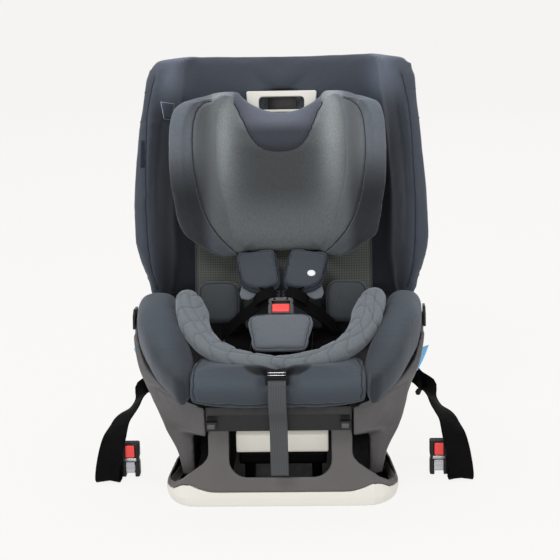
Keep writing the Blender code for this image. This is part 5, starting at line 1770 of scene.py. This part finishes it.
# headrest's rear shell, ribbed
hs_rows = [r for r in HEAD_CAD[1:-2]]
hsh = wall_loft("headrest_rear_shell", fine_levels(hs_rows, 60, -0.0054, -0.0012, 6, 6), DARKP)
difference(hsh, box("cut", (-0.0640, -0.10, 0.5770), (0.0640, 0.40, 0.70), None, 0))
remesh(hsh, 0.0018)
relax(hsh, 3)
mats(hsh, DARKP)
shade(hsh)
ribs = []
for x in (-0.085, -0.06, 0.06, 0.085):
    pts = [Vector((x, back_y(z) - 0.0160, z)) for z in [0.385 + 0.19 * i / 12 for i in range(13)]]
    ribs.append(tube("rib", pts, 0.0012, DARKP, 6))
hsh = join("headrest_rear_shell", [hsh] + ribs)
seat_piece(hsh, "dark_plastic", "headrest_shell", body="headrest")

# the seat's rear shell: raised borders, recessed panel, ribs, rod brackets
rear_rows = [r for r in BACK if r[0] < 0.665]


def shell_thick(th, k, z):
    return th


rear = wall_loft("back_rear_shell", fine_levels(rear_rows, 90, -0.0072, -0.0024, 9, 9), DARKP)
for zz in (0.388, 0.637):
    c = Vector((0.0, back_y(zz) + 0.0340, zz))
    br = box("bracket", (-0.075, -0.0115, -0.009), (0.075, 0.0115, 0.009), DARKP, 0.003, 3)
    br.data.transform(Matrix.Translation(c) @ Matrix.Rotation(-LEAN_ANG, 4, "X"))
    m = rear.modifiers.new("u", "BOOLEAN")
    m.operation = "UNION"
    m.object = br
    apply_mods(rear)
    bpy.data.objects.remove(br)
difference(rear, box("cut", (-0.0238, 0.03, 0.4122), (0.0238, 0.32, 0.6118), None, 0))
remesh(rear, 0.0022)
relax(rear, 3)
mats(rear, DARKP)
shade(rear)
co, no = coords(rear), normals(rear)
outer_face = no[:, 1] > 0.5
d_side = 0.170 - np.abs(co[:, 0])
d_bot, d_top = co[:, 2] - 0.312, 0.622 - co[:, 2]
d_slot = np.maximum(np.abs(co[:, 0]) - 0.0800, np.maximum(0.370 - co[:, 2], co[:, 2] - 0.655))
d = np.minimum(np.minimum(d_side, d_bot), np.minimum(d_top, d_slot))
k = np.clip(d / 0.006, 0, 1)
k = k * k * (3 - 2 * k) * outer_face
co = co - no * (k * 0.0022)[:, None]
set_coords(rear, co)
rb = []
t = tree(rear)
for sx in (-1, 1):
    for x in (0.092, 0.112, 0.132, 0.152):
        line = []
        for i in range(26):
            z = 0.324 + 0.286 * i / 25
            hit, nor, _, _ = t.ray_cast(Vector((sx * x, 0.40, z)), Vector((0, -1, 0)))
            if hit is not None:
                line.append(hit)
        if len(line) > 3:
            rb.append(tube("rib", line, 0.0017, DARKP, 6))
for z in (0.345, 0.600):
    for sx in (-1, 1):
        hit, nor, _, _ = t.ray_cast(Vector((sx * 0.188, 0.40, z)), Vector((0, -1, 0)))
        if hit is not None:
            r0 = [hit + Vector((0.0055 * cos(a_), 0.0006, 0.0055 * sin(a_)))
                  for a_ in [2 * pi * q / 20 for q in range(20)]]
            r1 = [hit + Vector((0.0045 * cos(a_), 0.0018, 0.0045 * sin(a_)))
                  for a_ in [2 * pi * q / 20 for q in range(20)]]
            r2 = [hit + Vector((0.0030 * cos(a_), 0.0008, 0.0030 * sin(a_)))
                  for a_ in [2 * pi * q / 20 for q in range(20)]]
            rb.append(loft("screw", [r0, r1, r2], BLACKP))
rear = join("back_rear_shell", [rear] + rb)
seat_piece(rear, "dark_plastic", "back_shell")

# storage cover over the guide rods
cv = []
for i in range(30):
    z = 0.382 + 0.268 * i / 29
    row = []
    for q in range(-16, 17):
        x = 0.0880 * q / 16
        e = (abs(q) / 16) ** 6
        y = back_y(z) + 0.0510 - 0.020 * e
        row.append((Vector((x, y, z)), Vector((x * 0.975, y - 0.0024, z))))
    cv.append(row)
cover = wall_loft("rear_rod_cover", cv, DARKP)
shade(cover)
cr = []
for zz in (0.44, 0.48, 0.52, 0.56, 0.60):
    cr.append(tube("rib", [Vector((0.066 * q / 12, back_y(zz) + 0.0514 - 0.020 * (abs(0.75 * q / 12)) ** 6,
                                   zz)) for q in range(-12, 13)], 0.0014, DARKP, 6))
cover = join("rear_rod_cover", [cover] + cr)
seat_piece(cover, "dark_plastic")

# side arms: smooth mouldings with the crease under the cover's edge
ARM = [(0.0300, 0.1400, -0.1420, 0.1620, -0.1300, -0.0350),
       (0.0450, 0.1405, -0.1440, 0.1645, -0.1300, -0.0300),
       (0.0700, 0.1410, -0.1480, 0.1705, -0.1290, -0.0150),
       (0.1020, 0.1405, -0.1540, 0.1860, -0.1280, 0.0050),
       (0.1110, 0.1310, -0.1760, 0.1900, -0.1250, 0.0200),
       (0.1175, 0.1180, -0.2020, 0.1930, -0.1215, 0.0420),
       (0.1250, 0.1165, -0.2150, 0.1968, -0.1180, 0.0600),
       (0.1500, 0.1165, -0.2220, 0.2100, -0.1050, 0.0850),
       (0.1720, 0.1165, -0.2240, 0.2220, -0.0920, 0.0980),
       (0.1780, 0.1600, -0.1950, 0.2260, -0.0880, 0.1010),
       (0.1900, 0.1950, -0.1400, 0.2320, -0.0800, 0.1060),
       (0.2050, 0.2220, -0.0850, 0.2380, -0.0650, 0.1090),
       (0.2350, 0.2345, -0.0550, 0.2440, -0.0450, 0.1080),
       (0.2620, 0.2380, -0.0220, 0.2450, -0.0120, 0.0980)]


def arm_ring(row, side):
    z, xi, yfi, xo, yfo, yr = row
    mx, my = (xi + xo) / 2, (yfi + yfo) / 2
    bulge = 0.10 * (xo - xi)
    ctrl = [(xi, yfi), (mx - 0.25 * (xo - xi), my - 0.25 * (yfo - yfi) - bulge * 0.7),
            (mx, my - bulge), (mx + 0.25 * (xo - xi), my + 0.25 * (yfo - yfi) - bulge * 0.6),
            (xo - 0.0005, yfo), (xo, yfo + 0.02),
            (xo - 0.004, (yfo + yr) / 2 + 0.01), (xo - 0.010 * min(1, (xo - xi) / 0.02), yr)]
    front = smooth_path([(x, y, 0) for x, y in ctrl], 40)
    ring = [(p[0], p[1]) for p in front]
    ring += [((xi + xo) / 2 + 0.001, yr), (xi, yr)]
    for q in range(1, 8):
        ring.append((xi, yr + (yfi - yr) * q / 8))
    return [Vector((side * x, y, z)) for x, y in ring]


CREASE = [(-0.2409, 0.2286), (-0.2292, 0.1850), (-0.2067, 0.1480), (-0.1705, 0.1125),
          (-0.1359, 0.0998)]
for side, tag in ((-1, "L"), (1, "R")):
    arm = loft("side_arm_shell_" + tag, [arm_ring(r, side) for r in fine_rows(ARM, 70)], DARKP)
    remesh(arm, 0.0026)
    relax(arm, 3)
    mats(arm, DARKP)
    shade(arm)
    t = tree(arm)
    line = on_surface(t, EYE, seen([(side * -x, z) for x, z in CREASE]), 60)
    co, no = coords(arm), normals(arm)
    # the face below the crease stands 1.5 mm proud of the face above it
    pr = [(side * -x, z) for x, z in CREASE]
    pr = sorted(pr, key=lambda q: abs(q[0]))
    e = np.array(EYE)
    kk = e[1] / (e[1] - co[:, 1])
    px = np.abs(e[0] + (co[:, 0] - e[0]) * kk)
    pz = e[2] + (co[:, 2] - e[2]) * kk
    cz = np.interp(px, [abs(q[0]) for q in pr], [q[1] for q in pr])
    s = np.clip((cz - pz) / 0.0020, -1, 1)
    facing = np.clip((-no[:, 1] + 0.3) / 0.4, 0, 1)
    co = co - no * ((0.5 - 0.5 * s) * 0.0022 * facing)[:, None]
    if side > 0:
        co[:, 0] -= 0.0105 * ease(co[:, 2], 0.112, 0.172) * ease(co[:, 0], 0.130, 0.210)
    set_coords(arm, co)
    seat_piece(arm, "dark_plastic", "side_arm_" + tag)
    bg = moulded("belt_guide_" + tag, "belt_guide_cap_" + tag, BLACKP, 0.0009, 3)
    bg.data.transform(Matrix.Translation((-0.0035 * side - 0.0100 * (side > 0), 0, 0)))

# front panel: crease, recessed clips
fpn = moulded("front_panel", "front_panel_cover", PANEL_PAINTED_SHADE, 0.0014, 2)

# base: housing and skirt with their moulded edges; narrower towards the back
def taper(ob):
    co = coords(ob)
    s_ = 1 - np.exp(-(np.maximum(co[:, 1] + 0.156, 0) / 0.12) ** 1.5)
    co[:, 0] *= 1.0 - 0.155 * s_ * ease(np.abs(co[:, 0]), 0.125, 0.160)
    set_coords(ob, co)


hou = moulded("base_housing", "base_housing_shell", HOUSE, 0.0016, 3)
co = coords(hou)
k = ease(np.abs(co[:, 0]), 0.150, 0.172) * (co[:, 2] > 0.045) * (1 - ease(co[:, 1], 0.045, 0.215))
co[:, 2] -= k * (co[:, 2] - 0.045) * 0.78
set_coords(hou, co)
taper(hou)
mats(hou, HOUSE, INNER_PAINTED_SHADE)


# inward-facing and floor faces inside the base get the painted-shade material
def house_painted_shade_zones(c, no):
    v = np.stack([-c[:, 0], 0.03 - c[:, 1]], 1)
    v /= np.maximum(np.linalg.norm(v, axis=1, keepdims=True), 1e-6)
    inside = (no[:, :2] * v).sum(1) > 0.30
    inside |= (np.abs(c[:, 0]) < 0.165) & (c[:, 1] > -0.168) & (c[:, 2] < 0.030) & (no[:, 2] > 0.2)
    return inside.astype(int)


assign(hou, house_painted_shade_zones)
for side, tag in ((-1, "L"), (1, "R")):
    lo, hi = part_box("front_panel")
    cx_, cz_ = side * 0.1045, 0.1465
    rec = box("clip_recess_" + tag, (cx_ - 0.0085, lo[1] - 0.0003, cz_ - 0.0055),
              (cx_ + 0.0085, lo[1] + 0.0080, cz_ + 0.0060), BLACKP, 0.0008, 2)
    tab = box("clip_tab_" + tag, (cx_ - 0.0066, lo[1] - 0.0016, cz_ - 0.0048),
              (cx_ + 0.0052, lo[1] + 0.0050, cz_ + 0.0030), DARKP, 0.0009, 2)
    clip = join("panel_clip_" + tag, [rec, tab])
    sharp(clip, 40)
    seat_piece(clip, "dark_plastic")
skt = moulded("base_skirt", "base_skirt_rim", CREAM, 0.0018, 2)
taper(skt)
rhd = moulded("recline_handle", "recline_handle_bar", HANDLE_PAINTED_GLOW, 0.0012, 3)
# latch cover and floor plate take the near-black painted shade
ltc = moulded("recline_latch_box", "recline_latch_cover", INNER_PAINTED_SHADE, 0.0016, 2)
pan = moulded("base_pan", "base_floor_plate", INNER_PAINTED_SHADE, 0.0019, 2)
taper(pan)

# lower rear panel of the seat, between the arms
lr = []
for i in range(24):
    z = 0.150 + 0.122 * i / 23
    k = i / 23
    half = 0.150 + 0.052 * min(1.0, k * 1.3)
    yb = 0.098 + 0.006 * k
    row = []
    for q in range(-20, 21):
        x = half * q / 20
        bow = 0.020 * (1 - (abs(q) / 20) ** 3)
        row.append((Vector((x, yb + bow, z)), Vector((x, yb + bow - 0.0030, z))))
    lr.append(row)
low_rear = wall_loft("seat_rear_panel", lr, DARKP)
lrr = []
for zz in (0.175, 0.195, 0.215):
    pts = []
    for q in range(-14, 15):
        x = 0.110 * q / 14
        k = (zz - 0.150) / 0.122
        half = 0.150 + 0.052 * min(1.0, k * 1.3)
        pts.append(Vector((x, 0.098 + 0.006 * k + 0.020 * (1 - (abs(x) / half) ** 3) + 0.0004, zz)))
    lrr.append(tube("rib", pts, 0.0018, DARKP, 6))
low_rear = join("seat_rear_panel", [low_rear] + lrr)
seat_piece(low_rear, "dark_plastic")

# ============================================================= plain labels
EYE_T = {}


def label(name, corners, target, mat, body, lift=0.0006, border=None, depth=0.0):
    """A blank sewn tag laid on a piece: corners are (x, z) read at y = 0 along the view."""
    t_ = tree(target)
    a, b, c, d = [Vector((x, depth, z)) for x, z in corners]
    nu, nv = 8, 8
    vs, fs = [], []
    ok = True
    for j in range(nv + 1):
        for i in range(nu + 1):
            p = a.lerp(b, i / nu).lerp(d.lerp(c, i / nu), j / nv)
            dr = (p - EYE).normalized()
            hit, nor, _, _ = t_.ray_cast(EYE, dr)
            if hit is None:
                ok = False
                hit = EYE + dr * DIST
            vs.append(hit - dr * lift)
    for j in range(nv):
        for i in range(nu):
            k = j * (nu + 1) + i
            fs.append((k, k + 1, k + nu + 2, k + nu + 1))
    if not ok:
        return None
    ob = add(name, vs, fs, mat)
    mod(ob, "SOLIDIFY", thickness=0.0005, offset=0)
    apply_mods(ob)
    parts = [ob]
    if border:
        ring = []
        per = ([(i, 0) for i in range(nu)] + [(nu, j) for j in range(nv)]
               + [(i, nv) for i in range(nu, 0, -1)] + [(0, j) for j in range(nv, 0, -1)] + [(0, 0)])
        for i, j in per:
            ring.append(Vector(vs[j * (nu + 1) + i]))
        parts.append(tube("edge", ring, 0.0006, border, 6))
    ob = join(name, parts)
    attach(ob, body)
    return ob


label("side_label_outline", [(-0.1953, 0.6103), (-0.1727, 0.6066), (-0.1778, 0.5800),
                             (-0.1910, 0.5819)], back, TAGD, "seat", 0.0006, TAGW, 0.06)
label("edge_label", [(-0.2283, 0.5500), (-0.2225, 0.5499), (-0.2240, 0.5047), (-0.2310, 0.5048)],
      back, TAGK, "seat", depth=0.04)

# blue tags sewn under the arms' outer edges
for side, tag in ((-1, "L"), (1, "R")):
    tv, tf = [], []
    x0 = 0.2478 if side < 0 else 0.2380
    for j in range(9):
        for i in range(5):
            u_, w_ = i / 4, j / 8
            tv.append(Vector((side * (x0 - 0.0100 + 0.0150 * u_ * (0.5 + 0.5 * (1 - w_)) - 0.0120 * w_
                                      + 0.0015 * sin(w_ * 3)), 0.0200 + 0.004 * u_,
                              0.1950 - 0.0440 * w_ + 0.004 * u_)))
    for j in range(8):
        for i in range(4):
            k = j * 5 + i
            tf.append((k, k + 1, k + 6, k + 5))
    blue = add("side_tag_blue_" + tag, tv, tf, TAGB)
    mod(blue, "SOLIDIFY", thickness=0.0006, offset=0)
    apply_mods(blue)
    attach(blue, "seat")

# ========================================================== carried-over CAD
for n, m in (("recline_track_L", INNER_PAINTED_SHADE), ("recline_track_R", INNER_PAINTED_SHADE),
             ("recline_lock_bar", STEELM), ("recline_runner", STEELM), ("seat_shell", DARKP),
             ("guide_rod_L", STEELM), ("guide_rod_R", STEELM), ("headrest_carrier", BLACKP)):
    mats(NODES[n], m)
